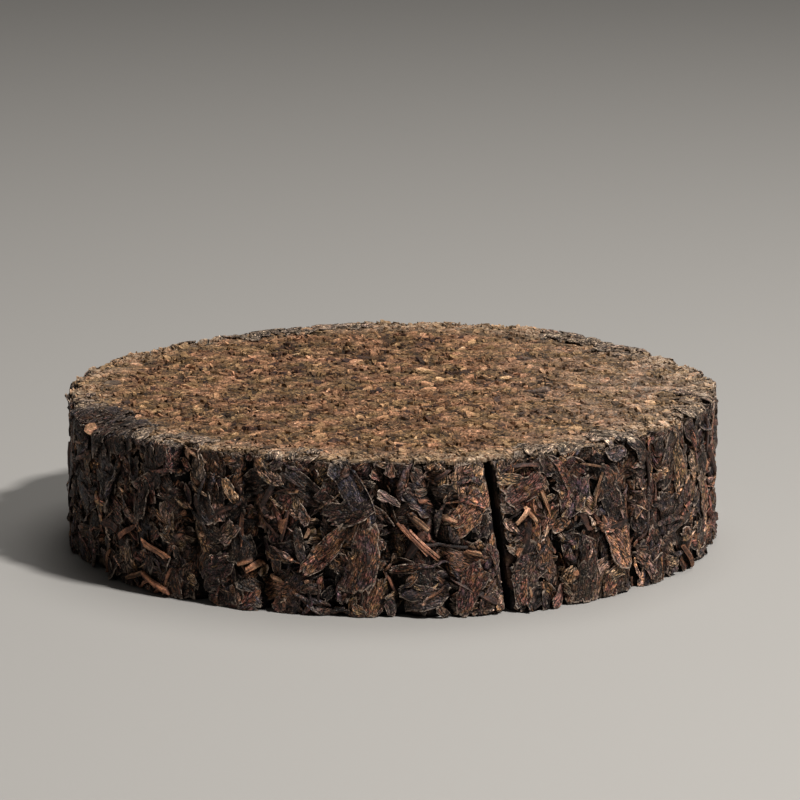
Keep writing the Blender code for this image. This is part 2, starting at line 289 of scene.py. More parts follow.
    def groove_depth(self, line: Array) -> Array:
        """The sum of depth * exp(-(distance / half width)^sharpness) over the grooves."""
        total = np.zeros(np.shape(line))
        for groove, depth, half_width in self.grooves:
            across = np.abs(self.arc_between(line, groove)) / half_width
            total = total + depth * np.exp(-(across**self.sharpness))
        return total

    def side_radius(self, line: Array, height: Array, follow: Array = 1.0) -> Array:
        """Outline, bulge and lumps, less the grooves, or only a share of them that follow gives."""
        crown = self.outline_radius(line) + self.bulge + self.lump(line, height)
        return crown - follow * self.groove_depth(line)

    def on_circle(self, bearing: Array, radius: Array, height: Array) -> Array:
        """Points at a bearing, a radius and a height."""
        angle = np.radians(bearing)
        x, y = radius * np.sin(angle), -radius * np.cos(angle)
        return np.stack(np.broadcast_arrays(x, y, height), -1)

    def over_side(self, line: Array, height: Array, proud: Array, follow: Array = 1.0) -> Array:
        """Points that stand proud of the side, on a line and at a height."""
        radius = self.side_radius(line, height, follow) + proud
        return self.on_circle(self.bearing_of(line, height), radius, height)


@dataclass(frozen=True)
class Shown:
    """A piece that the photograph shows: its middle's pixel, its size in mm, its turn and its tone."""

    x: float
    y: float
    length: float
    width: float
    turn: float
    tone: float
    proud: float = 0.9


@dataclass
class SidePlaces:
    """Where pieces lie on the side, one row for each piece."""

    line: Array
    height: Array
    left: Array
    right: Array
    turn: Array
    follow: Array

    def lay(self, form: PressedForm, u: Array, v: Array, proud: Array, over_rim: bool = False) -> Array:
        """Lays flat pieces on the side, turned, and held inside their limits and the sawn faces.

        They end at the worn rim, or else what reaches past the top bends inwards on to it.

        Args:
            form: the slice.
            u: distances along the pieces, of shape (pieces, rows, columns).
            v: distances across the pieces, alike.
            proud: heights over the side, alike.
            over_rim: whether pieces bend over the rim.

        Returns:
            Points, of shape (pieces, rows, columns, 3).
        """
        along, across = turned(u, v, np.radians(per_piece(self.turn)))
        own_height = per_piece(self.height)
        low, high = form.clear[0], form.thickness - form.clear[1]
        if not over_rim:
            high = high - form.worn_drop(form.bearing_of(per_piece(self.line), own_height), 0.0)
        past = np.maximum(own_height + along - high, 0.0)
        height = held(fitted(own_height + along, low, high, 0.8), low, high, 0.3 * MM)
        bearing = form.bearing_of(per_piece(self.line), own_height) + np.degrees(across / form.radius)
        line = form.line_through(bearing, height)
        left, right = per_piece(self.left), per_piece(self.right)
        line = held(fitted(line, left, right, 1.0), left, right, 0.25)
        if not over_rim:
            return form.over_side(line, height, proud, per_piece(self.follow))
        bent = smooth_step(past, 0.0, 1.2 * MM)
        height = np.minimum(own_height + along, high)
        sunk = form.worn_drop(bearing, past)
        points = form.over_side(line, height, proud * (1.0 - bent) - past, per_piece(self.follow))
        lift = bent * np.clip(proud, 0.0, 0.8 * MM + 0.4 * sunk) - sunk
        return points + np.stack([0.0 * lift, 0.0 * lift, lift], -1)

    @classmethod
    def join(cls, *parts: "SidePlaces") -> "SidePlaces":
        """The rows of several sets of places, one after another."""
        rows = zip(*(vars(part).values() for part in parts))
        return cls(*map(np.concatenate, rows))


@dataclass
class Scatter:
    """Even random places, by steps of two irrational numbers and a small jitter."""

    form: PressedForm
    seed: int
    steps: tuple = (0.7548776662466927, 0.5698402909980532)
    jitter: float = 0.03
    free_reach: float = 40.0
    groove_reach: tuple = (-0.7, 0.8)
    deep: float = 6.5 * MM
    slot_lip: float = 1.35 * MM
    rng: np.random.Generator = field(init=False)

    def __post_init__(self) -> None:
        """Starts the random draws."""
        self.rng = np.random.default_rng(self.seed)

    def shares(self, count: int) -> Array:
        """Pairs of numbers from 0 to 1 that fill the square evenly."""
        steps = np.outer(np.arange(count), self.steps) + self.rng.random(2)
        return (steps + self.rng.uniform(-self.jitter, self.jitter, (count, 2))) % 1.0

    def between(self, count: int, limits: tuple, power: float = 1.0) -> Array:
        """Random values between the limits: a power over 1 makes more of them small."""
        return limits[0] + (limits[1] - limits[0]) * self.rng.random(count) ** power

    def each(self, count: int, *draws: tuple) -> list[Array]:
        """One set of random values for each pair of limits, which a power may follow."""
        return [self.between(count, *draw) for draw in draws]

    def clear_of_slot(self, line: Array, left: Array, right: Array) -> Arrays:
        """The limits, drawn in to the slot's lip on whichever side it lies."""
        lip = math.degrees(self.slot_lip / self.form.radius)
        away = short_way(self.form.slot_line - line)
        right = np.where(away > 0.0, np.minimum(right, line + away - lip), right)
        left = np.where(away <= 0.0, np.maximum(left, line + away + lip), left)
        return left, right

    def on_side(self, count: int, turn: tuple, heights: tuple) -> SidePlaces:
        """Places spread round the side.

        A piece may cross the grooves beside it, more often the shallower they are. Otherwise it
        ends a random way into them. Nothing crosses the slot.

        Args:
            count: how many pieces.
            turn: the mean and the spread of their turn from upright.
            heights: the lowest and highest share of the thickness.

        Returns:
            The places.
        """
        shares = self.shares(count)
        strips = self.form.strips(0.0)
        line = strips[0, 0] + 360.0 * shares[:, 0]
        index = np.searchsorted(strips[:, 1], line).clip(0, len(strips) - 1)
        depths, half_widths = np.array(self.form.grooves)[:, 1:].T
        beside = np.degrees(half_widths / self.form.radius)
        into = np.stack([beside[index], -np.roll(beside, -1)[index]], 1)
        edges = strips[index] + into * self.rng.uniform(*self.groove_reach, (count, 2))
        ends = np.stack([depths[index], np.roll(depths, -1)[index]], 1)
        crosses = self.rng.random((count, 2)) > ends / self.deep
        edges = np.where(crosses, line[:, None] + [-self.free_reach, self.free_reach], edges)
        left, right = self.clear_of_slot(line, edges[:, 0], edges[:, 1])
        low, high = heights
        height = self.form.thickness * (low + (high - low) * shares[:, 1])
        turns = self.rng.normal(*turn, count)
        follow = self.rng.uniform(np.where(crosses.any(axis=1), 0.25, 0.85), 1.0)
        return SidePlaces(line, height, left, right, turns, follow)

    def on_worn_rim(self, places: SidePlaces) -> SidePlaces:
        """The places moved round to where the rim has crumbled off, more of them where more has."""
        bearings = np.linspace(0.0, 360.0, 3601)
        total = np.cumsum(self.form.worn_width(bearings))
        spread = np.interp(self.rng.random(len(places.line)) * total[-1], total, bearings)
        line = self.form.line_through(spread, self.form.thickness)
        left, right = self.clear_of_slot(line, line - self.free_reach, line + self.free_reach)
        return SidePlaces(line, places.height, left, right, places.turn, places.follow)

    def where_shown(self, studio: "Studio", pieces: Sequence[Shown], share: float = 1.0) -> tuple:
        """Rows of the pieces that the photograph shows, by the camera's rays through their pixels.

        Args:
            studio: holds the camera.
            pieces: what the photograph shows.
            share: how much of its width a piece takes.

        Returns:
            Places, lengths, widths, heights over the side and tones.
        """
        line, height = np.array([studio.line_and_height(self.form, shown.x, shown.y) for shown in pieces]).T
        left, right = self.clear_of_slot(line, line - self.free_reach, line + self.free_reach)
        turn, tone = np.array([(piece.turn, piece.tone) for piece in pieces]).T
        sizes = np.array([(piece.length, share * piece.width, piece.proud) for piece in pieces]) * MM
        return SidePlaces(line, height, left, right, turn, np.full(len(line), 0.9)), *sizes.T, tone


def joined_rows(*groups: Sequence) -> list:
    """Groups of places and their arrays, joined item by item."""
    places, *arrays = zip(*groups)
    return [SidePlaces.join(*places), *map(np.concatenate, arrays)]


@dataclass
class Pieces:
    """Many alike closed pieces of one kind, before they become one mesh.

    The points have the shape (pieces, points, 3). The faces are the triangles of one piece, and the
    corners are the map coordinates of their corners, of shape (faces, 3, 2). The layers are values by
    name for every point, of shape (pieces, points) or (pieces, points, 3).
    """

    name: str
    points: Array
    faces: Array
    corners: Array
    layers: dict[str, Array]
    sharp: float

    def samples(self, steps: int) -> Array:
        """Points spread over every triangle: the middles of the small upright triangles in it."""
        first, second = np.divmod(np.arange(steps * steps), steps)
        keep = first + second < steps
        a, b = (first[keep] + 1 / 3) / steps, (second[keep] + 1 / 3) / steps
        weights = np.stack([a, b, 1.0 - a - b], 1)
        return np.einsum("sk,pfkc->pfsc", weights, self.points[:, self.faces]).reshape(-1, 3)

    def make(self) -> Object:
        """Joins the pieces as one mesh object, every piece facing outwards by its volume's sign."""
        points, faces = self.points, self.faces
        count, size = points.shape[:2]
        spots = (points - points.mean(axis=1, keepdims=True))[:, faces]
        volume = np.einsum("pfi,pfi->p", spots[:, :, 0], np.cross(spots[:, :, 1], spots[:, :, 2]))
        inside_out = per_piece(volume < 0.0)
        number = np.arange(count)
        triangles = np.where(inside_out, faces[:, ::-1], faces) + per_piece(number * size)
        cells = math.ceil(math.sqrt(count))
        cell = np.stack([number % cells, number // cells], -1)
        places = (per_piece(cell) + 0.04 + 0.92 * self.corners) / cells
        places = np.where(inside_out[..., None], places[:, :, ::-1], places)
        layers = {key: values.reshape(-1, *values.shape[2:]) for key, values in self.layers.items()}
        points = points.reshape(-1, 3).copy()
        points[:, 2] = np.maximum(points[:, 2], LOWEST)
        faces, corners = triangles.reshape(-1, 3), places.reshape(-1, 2)
        return new_mesh(self.name, points, faces, corners, layers, self.sharp)


@dataclass
class Relief:
    """How far everything stands out over the side or over the top, to tell hollows from ridges.

    It is a table of small cells, round the side or across the top. Each holds the level of the
    outermost surface there, first the plain form's and then that of every sample of every piece.
    """

    form: PressedForm
    top: bool
    cell: float = 0.5 * MM
    near: float = 0.9 * MM
    far: float = 3.4 * MM
    near_depth: float = 0.42 * MM
    far_depth: float = 3.2 * MM
    samples: int = 3
    table: Array = field(init=False)

    def __post_init__(self) -> None:
        """Fills the table with the plain form's levels."""
        form = self.form
        reach = form.radius + 8.0 * MM
        if self.top:
            steps = round(2.0 * reach / self.cell)
            spots = (np.arange(steps) + 0.5 - steps / 2) * self.cell
            self.table = form.top_level(*np.meshgrid(spots, spots, indexing="ij"))
            return
        columns = round(2.0 * math.pi * form.radius / self.cell)
        rows = round(form.thickness / self.cell)
        bearing = (np.arange(columns)[:, None] + 0.5) * 360.0 / columns
        height = (np.arange(rows)[None] + 0.5) * form.thickness / rows
        line = form.line_through(bearing, height)
        level = form.side_radius(line, height) - 0.4 * MM
        in_slot = np.abs(form.arc_between(line, form.slot_line)) < form.slot_half_mouth
        self.table = level - 6.0 * MM * (in_slot & (height < form.thickness - form.slot_cap))

    def cells_of(self, points: Array) -> Arrays:
        """The cell's two numbers and the level of each point: its radius or its height."""
        x, y, z = np.moveaxis(points, -1, 0)
        columns, rows = self.table.shape
        if self.top:
            first = np.clip((x / self.cell + columns / 2).astype(int), 0, columns - 1)
            return first, np.clip((y / self.cell + rows / 2).astype(int), 0, rows - 1), z
        bearing = np.degrees(np.arctan2(x, -y)) % 360.0
        first = (bearing / 360.0 * columns).astype(int) % columns
        second = np.clip((z / self.form.thickness * rows).astype(int), 0, rows - 1)
        return first, second, np.hypot(x, y)

    def add(self, pieces: Pieces) -> None:
        """Raises each cell to the outermost sample of the pieces in it."""
        first, second, level = self.cells_of(pieces.samples(self.samples))
        np.maximum.at(self.table, (first, second), level)

    def blurred(self, spread: float) -> Array:
        """The table smoothed by a bell curve, through its spectrum, mirrored at its rows' ends."""
        table = self.table
        both = np.concatenate([table, table[:, ::-1]], axis=1)
        across = np.fft.fftfreq(both.shape[0])[:, None]
        along = np.fft.rfftfreq(both.shape[1])[None]
        fade = np.exp(-2.0 * (math.pi * spread / self.cell) ** 2 * (across**2 + along**2))
        return np.fft.irfft2(np.fft.rfft2(both) * fade, both.shape)[:, : table.shape[1]]

    def hollow(self, points: Array) -> Array:
        """How deep each point lies below what is round it: over 0 in a hollow, under 0 on a ridge.

        It is the mean of (near blur - level) / near depth and (far blur - level) / far depth.
        """
        first, second, level = self.cells_of(points)
        near = (self.blurred(self.near)[first, second] - level) / self.near_depth
        far = (self.blurred(self.far)[first, second] - level) / self.far_depth
        return np.clip(0.5 * (near + far), -1.5, 2.0)


def placed(name: str, data: object) -> Object:
    """A new object that holds this data, linked to the scene."""
    obj = bpy.data.objects.new(name, data)
    bpy.context.scene.collection.objects.link(obj)
    return obj


def new_mesh(
    name: str, points: Array, faces: Array, places: Array, layers: dict[str, Array], sharp: float
) -> Object:
    """A mesh object from whole arrays.

    Args:
        name: the object's name.
        points: of shape (points, 3).
        faces: triangles or quads, of shape (faces, 3 or 4).
        places: map coordinates of every corner, of shape (faces * corners, 2).
        layers: values by name for every point.
        sharp: the angle from which an edge is sharp.

    Returns:
        The object, linked to the scene.
    """
    mesh = bpy.data.meshes.new(name)
    mesh.vertices.add(len(points))
    mesh.vertices.foreach_set("co", points.astype(np.float32).ravel())
    mesh.loops.add(faces.size)
    mesh.loops.foreach_set("vertex_index", faces.astype(np.int32).ravel())
    mesh.polygons.add(len(faces))
    mesh.polygons.foreach_set("loop_start", np.arange(0, faces.size, faces.shape[1], dtype=np.int32))
    mesh.update(calc_edges=True)
    mesh.uv_layers.new(name=BAKE_MAP).uv.foreach_set("vector", places.astype(np.float32).ravel())
    for key, values in layers.items():
        kind, slot = ("FLOAT_VECTOR", "vector") if values.ndim == 2 else ("FLOAT", "value")
        layer = mesh.attributes.new(key, kind, "POINT")
        layer.data.foreach_set(slot, values.astype(np.float32).ravel())
    mesh.shade_smooth()
    mesh.set_sharp_from_angle(angle=math.radians(sharp))
    return placed(name, mesh)


def halves(a: Array, b: Array, c: Array, d: Array) -> Array:
    """Both triangles of every quad a, b, c, d: all the first ones, then all the second ones."""
    return np.concatenate([np.stack([a, b, c], 1), np.stack([a, c, d], 1)])


def grid_quads(index: Array) -> list[Array]:
    """The four corners of every quad of a grid of point numbers."""
    corners = (index[:-1, :-1], index[1:, :-1], index[1:, 1:], index[:-1, 1:])
    return [corner.ravel() for corner in corners]


def ring_quads(index: Array) -> list[Array]:
    """The four corners of every quad between closed rings of point numbers."""
    beside = np.roll(index, -1, axis=1)
    return [corner.ravel() for corner in (index[:-1], beside[:-1], beside[1:], index[1:])]


def circle(sides: int) -> Array:
    """Points round a circle of radius 1."""
    angle = 2.0 * np.pi * np.arange(sides) / sides
    return np.stack([np.cos(angle), np.sin(angle)], 1)


def pairs(*rows: tuple) -> list[Array]:
    """Points from pairs of their coordinates."""
    return [np.stack(row, 1) for row in rows]


def sheet_faces(rows: int, columns: int) -> Arrays:
    """One thin closed sheet: its face and its back, split alike, and the wall round its edge.

    Args:
        rows: points along the sheet.
        columns: points across it.

    Returns:
        Triangles, and the map coordinates of their corners: the face fills the left of the square,
        the back the right, and the wall a band along the bottom.
    """
    size = rows * columns
    index = np.arange(size).reshape(rows, columns)
    face = halves(*grid_quads(index))
    rim = np.concatenate([index[0, :-1], index[:-1, -1], index[-1, :0:-1], index[:0:-1, 0]])
    beside = np.roll(rim, -1)
    wall = halves(rim, beside, beside + size, rim + size)
    u, v = np.divmod(np.arange(size), columns)
    spot = np.stack([u / (rows - 1), v / (columns - 1)], 1)
    on_face = spot[face] * [0.48, 0.9] + [0.0, 0.1]
    on_back = spot[face[:, ::-1]] * [0.48, 0.9] + [0.52, 0.1]
    step = np.arange(len(rim)) / len(rim)
    after = step + 1.0 / len(rim)
    low, high = 0.0 * step, 0.0 * step + 0.06
    on_wall = halves(*pairs((step, high), (after, high), (after, low), (step, low)))
    faces = np.concatenate([face, face[:, ::-1] + size, wall])
    return faces, np.concatenate([on_face, on_back, on_wall])


def tube_faces(rings: int, sides: int) -> Arrays:
    """One closed tube: its wall, and a fan over each end's middle point.

    Args:
        rings: rings of points along the tube.
        sides: points in each ring.

    Returns:
        Triangles, and the map coordinates of their corners: the wall fills the square but for a band
        along the bottom, which holds both ends. The two middle points come after the rings.
    """
    index = np.arange(rings * sides).reshape(rings, sides)
    near = np.full(sides, rings * sides)
    first, last = index[0], index[-1]
    near_end = np.stack([near, np.roll(first, -1), first], 1)
    far_end = np.stack([near + 1, last, np.roll(last, -1)], 1)
    ring, side = np.divmod(np.arange((rings - 1) * sides), sides)
    low_x, high_x = ring / (rings - 1), (ring + 1) / (rings - 1)
    low_y, high_y = 0.2 + 0.8 * side / sides, 0.2 + 0.8 * (side + 1) / sides
    on_wall = halves(*pairs((low_x, low_y), (low_x, high_y), (high_x, high_y), (high_x, low_y)))
    spots = 0.08 * circle(sides)
    beside, middle = np.roll(spots, -1, axis=0), np.zeros((sides, 2))
    on_near = np.stack([middle, beside, spots], 1) + [0.1, 0.09]
    on_far = np.stack([middle, spots, beside], 1) + [0.4, 0.09]
    faces = np.concatenate([halves(*ring_quads(index)), near_end, far_end])
    return faces, np.concatenate([on_wall, on_near, on_far])


def plate_faces(sides: int) -> Arrays:
    """One flat chip: a fan over its middle point, a wall and a fan under it.

    Args:
        sides: corners of its outline.

    Returns:
        Triangles, and the map coordinates of their corners. The points are the upper corners, the
        lower corners, the upper middle and the lower middle.
    """
    upper, top = np.arange(sides), np.full(sides, 2 * sides)
    beside = np.roll(upper, -1)
    lower, lower_beside = upper + sides, beside + sides
    crown, foot = np.stack([top, upper, beside], 1), np.stack([top + 1, lower_beside, lower], 1)
    faces = np.concatenate([crown, halves(upper, lower, lower_beside, beside), foot])
    places = (np.concatenate([0.38 * circle(sides), 0.5 * circle(sides), np.zeros((2, 2))]) + 0.5)[faces]
    places[-sides:] = 0.04 * (places[-sides:] - 0.5) + 0.05
    return faces, places


def thick_sheets(points: Array, thickness: Array) -> Array:
    """Closed thin sheets: the points, and the same points moved back along the surface's normal.

    Args:
        points: grids of points, of shape (pieces, rows, columns, 3).
        thickness: one for each piece.

    Returns:
        Points, of shape (pieces, 2 * rows * columns, 3).
    """
    normal = np.cross(np.gradient(points, axis=1), np.gradient(points, axis=2))
    length = np.linalg.norm(normal, axis=-1, keepdims=True)
    back = points - normal / np.maximum(length, 1e-12) * thickness[:, None, None, None]
    return np.concatenate([points, back], axis=1).reshape(len(points), -1, 3)


def stops(*rows: tuple) -> list[tuple]:
    """Stops of (place, linear colour) from rows of a place and three screen values."""
    return [(place, srgb(*values)) for place, *values in rows]


class Palette(Enum):
    """The slice's colours, as stops along a piece's tone, and a leaf's tint, by its own number."""

    LEAF = stops(
        (0.0, 26, 20, 18), (0.12, 52, 36, 31), (0.24, 44, 39, 44), (0.34, 70, 47, 38), (0.46, 86, 62, 51),
        (0.56, 98, 70, 60), (0.65, 88, 70, 50), (0.75, 122, 102, 89), (0.84, 142, 106, 74),
        (0.92, 172, 146, 124), (1.0, 162, 152, 132),
    )
    STALK = stops(
        (0.0, 50, 34, 29), (0.25, 92, 60, 48), (0.5, 134, 88, 66), (0.7, 166, 114, 83),
        (0.85, 170, 134, 104), (1.0, 218, 154, 124),
    )
    TOP = stops(
        (0.0, 52, 42, 42), (0.18, 88, 64, 50), (0.42, 128, 98, 72), (0.6, 150, 118, 91),
        (0.78, 182, 139, 109), (0.9, 204, 162, 130), (1.0, 218, 192, 166),
    )
    LEAF_TINT = (
        (0.0, (0.64, 0.76, 0.94)), (0.2, (0.8, 0.79, 0.76)), (0.38, (0.92, 0.77, 0.61)),
        (0.56, (0.85, 0.85, 0.52)), (0.78, (0.95, 0.69, 0.61)), (1.0, (0.87, 0.69, 0.79)),
    )


class Bench:
    """Short ways to add and join the nodes of one material."""

    def __init__(self, name: str) -> None:
        """Makes the material and keeps its shader."""
        self.material = bpy.data.materials.new(name)
        self.material.use_nodes = True
        tree = self.material.node_tree
        self.nodes, self.links = tree.nodes, tree.links
        self.shader = self.nodes["Principled BSDF"]

    def feed(self, socket: Socket, value: object) -> None:
        """Joins a socket to the input, or sets a plain value on it."""
        if isinstance(value, Socket):
            self.links.new(value, socket)
        elif isinstance(value, tuple) and socket.type == "RGBA":
            socket.default_value = (*value, 1.0)
        else:
            socket.default_value = value

    def node(self, kind: str, *values: object, **named: object) -> bpy.types.Node:
        """A new node of this kind, with its sockets fed in their order or by their names."""
        node = self.nodes.new("ShaderNode" + kind)
        for socket, value in zip(node.inputs, values):
            self.feed(socket, value)
        for name, value in named.items():
            self.feed(node.inputs[name], value)
        return node

    def attribute(self, name: str, vector: bool = False) -> Socket:
        """A value, or a vector, that the mesh holds for every point."""
        node = self.node("Attribute")
        node.attribute_name = name
        return node.outputs["Vector" if vector else "Fac"]

    def place(self) -> Socket:
        """The point's place in the object's own space."""
        return self.node("TexCoord").outputs["Object"]

    def vector_math(self, operation: str, *vectors: object) -> bpy.types.Node:
        """A node that works on one or two vectors."""
        node = self.node("VectorMath", *vectors)
        node.operation = operation
        return node

    def scaled(self, vector: Socket, scale: tuple) -> Socket:
        """The vector with each axis scaled."""
        return self.vector_math("MULTIPLY", vector, scale).outputs[0]

    def split(self, value: Socket, kind: str, part: str) -> Socket:
        """One part of a colour or a vector."""
        return self.node("Separate" + kind, value).outputs[part]

    def axis(self, name: str) -> Socket:
        """One coordinate of the point in the object's own space."""
        return self.split(self.place(), "XYZ", name)

    def reach(self) -> Socket:
        """The point's distance from the slice's axis."""
        flat = self.scaled(self.place(), (1.0, 1.0, 0.0))
        return self.vector_math("LENGTH", flat).outputs["Value"]

    def noise(self, vector: Socket, size: float, detail: float, distortion: float = 0.0) -> Socket:
        """Noise from 0 to 1, with lumps of this width in metres."""
        node = self.node("TexNoise", vector, Scale=1.0 / size, Detail=detail, Distortion=distortion)
        return node.outputs["Fac"]

    def cells(self, vector: Socket, size: float, edges: bool) -> Socket:
        """Cells of this width in metres: the distance to the nearest edge, or a value of its own."""
        node = self.node("TexVoronoi", vector, Scale=1.0 / size)
        node.feature = "DISTANCE_TO_EDGE" if edges else "F1"
        return node.outputs["Distance"] if edges else self.split(node.outputs["Color"], "Color", "Red")

    def warped(self, vector: Socket, size: float, reach: float) -> Socket:
        """The vector moved about by noise of this width, by at most half the reach each way."""
        colour = self.node("TexNoise", vector, Scale=1.0 / size).outputs["Color"]
        return self.vector_math("ADD", vector, self.scaled(colour, (reach, reach, reach))).outputs[0]

    def ridges(self, vector: Socket, size: float, detail: float, distortion: float) -> Socket:
        """Noise folded at its middle, |2n - 1|, so that it is 0 along thin wandering lines."""
        doubled = self.times(self.noise(vector, size, detail, distortion), 2.0)
        return self.math("ABSOLUTE", self.math("SUBTRACT", doubled, 1.0))

    def cut(self, distance: Socket, width: float, dark: float, lip: float) -> Socket:
        """A brightness that is dark in a line, has a bright lip beside it, and is 1 farther off: painted
        shade in the line, a painted highlight on the lip.
        """
        inner = self.span(distance, 0.2 * width, width, dark, lip)
        return self.times(inner, self.span(distance, width, 3.0 * width, 1.0, 1.0 / lip))

    def math(self, operation: str, first: object, *others: object) -> Socket:
        """Works on one number, or joins several one after another."""
        for other in others or (0.0,):
            node = self.node("Math", first, other)
            node.operation = operation
            first = node.outputs[0]
        return first

    def times(self, *factors: object) -> Socket:
        """The product of all the factors."""
        return self.math("MULTIPLY", *factors)

    def span(self, value: Socket, low: float, high: float, to_low: float, to_high: float) -> Socket:
        """The value carried from one range to another, and held at its ends."""
        return self.node("MapRange", value, low, high, to_low, to_high).outputs[0]

    def ramp(self, value: Socket, palette: Palette) -> Socket:
        """The palette's colour at a value."""
        node = self.node("ValToRGB", value)
        elements = node.color_ramp.elements
        first, *between, last = palette.value
        for element, (place, colour) in zip(elements, (first, last)):
            element.position, element.color = place, (*colour, 1.0)
        for place, colour in between:
            elements.new(place).color = (*colour, 1.0)
        return node.outputs["Color"]

    def mix(self, share: object, first: object, second: object, blend: str = "MIX") -> Socket:
        """Two colours mixed by a share."""
        node = self.node("Mix", share)
        node.data_type, node.blend_type = "RGBA", blend
        self.feed(node.inputs[6], first)
        self.feed(node.inputs[7], second)
        return node.outputs[2]

    def bright(self, colour: Socket, value: Socket) -> Socket:
        """The colour with its brightness scaled by the value."""
        return self.node("HueSaturation", Value=value, Color=colour).outputs["Color"]

    def bump(self, height: Socket, distance: float, strength: float = 1.0, before: object = None) -> Socket:
        """A normal from a height of 0 to 1 over this distance in metres."""
        node = self.node("Bump", Strength=strength, Distance=distance, Height=height)
        if before is not None:
            self.feed(node.inputs["Normal"], before)
        return node.outputs["Normal"]

    def finish(self, colour: object, roughness: object, normal: object, sheen: object) -> Material:
        """Joins the looks to the shader, with the sheen as its specular level."""
        names = ("Base Color", "Roughness", "Normal", "Specular IOR Level")
        for name, value in zip(names, (colour, roughness, normal, sheen)):
            self.feed(self.shader.inputs[name], value)
        return self.material


DUST_AND_HIGHLIGHT = srgb(172, 150, 131)
RIM_DUST = srgb(208, 184, 156)
GREY_SHEEN = srgb(190, 172, 153)
OLIVE = (0.96, 1.0, 0.84)
PINKISH = (1.08, 0.95, 0.9)
WORN_EDGE_AND_HIGHLIGHT = srgb(178, 158, 142)


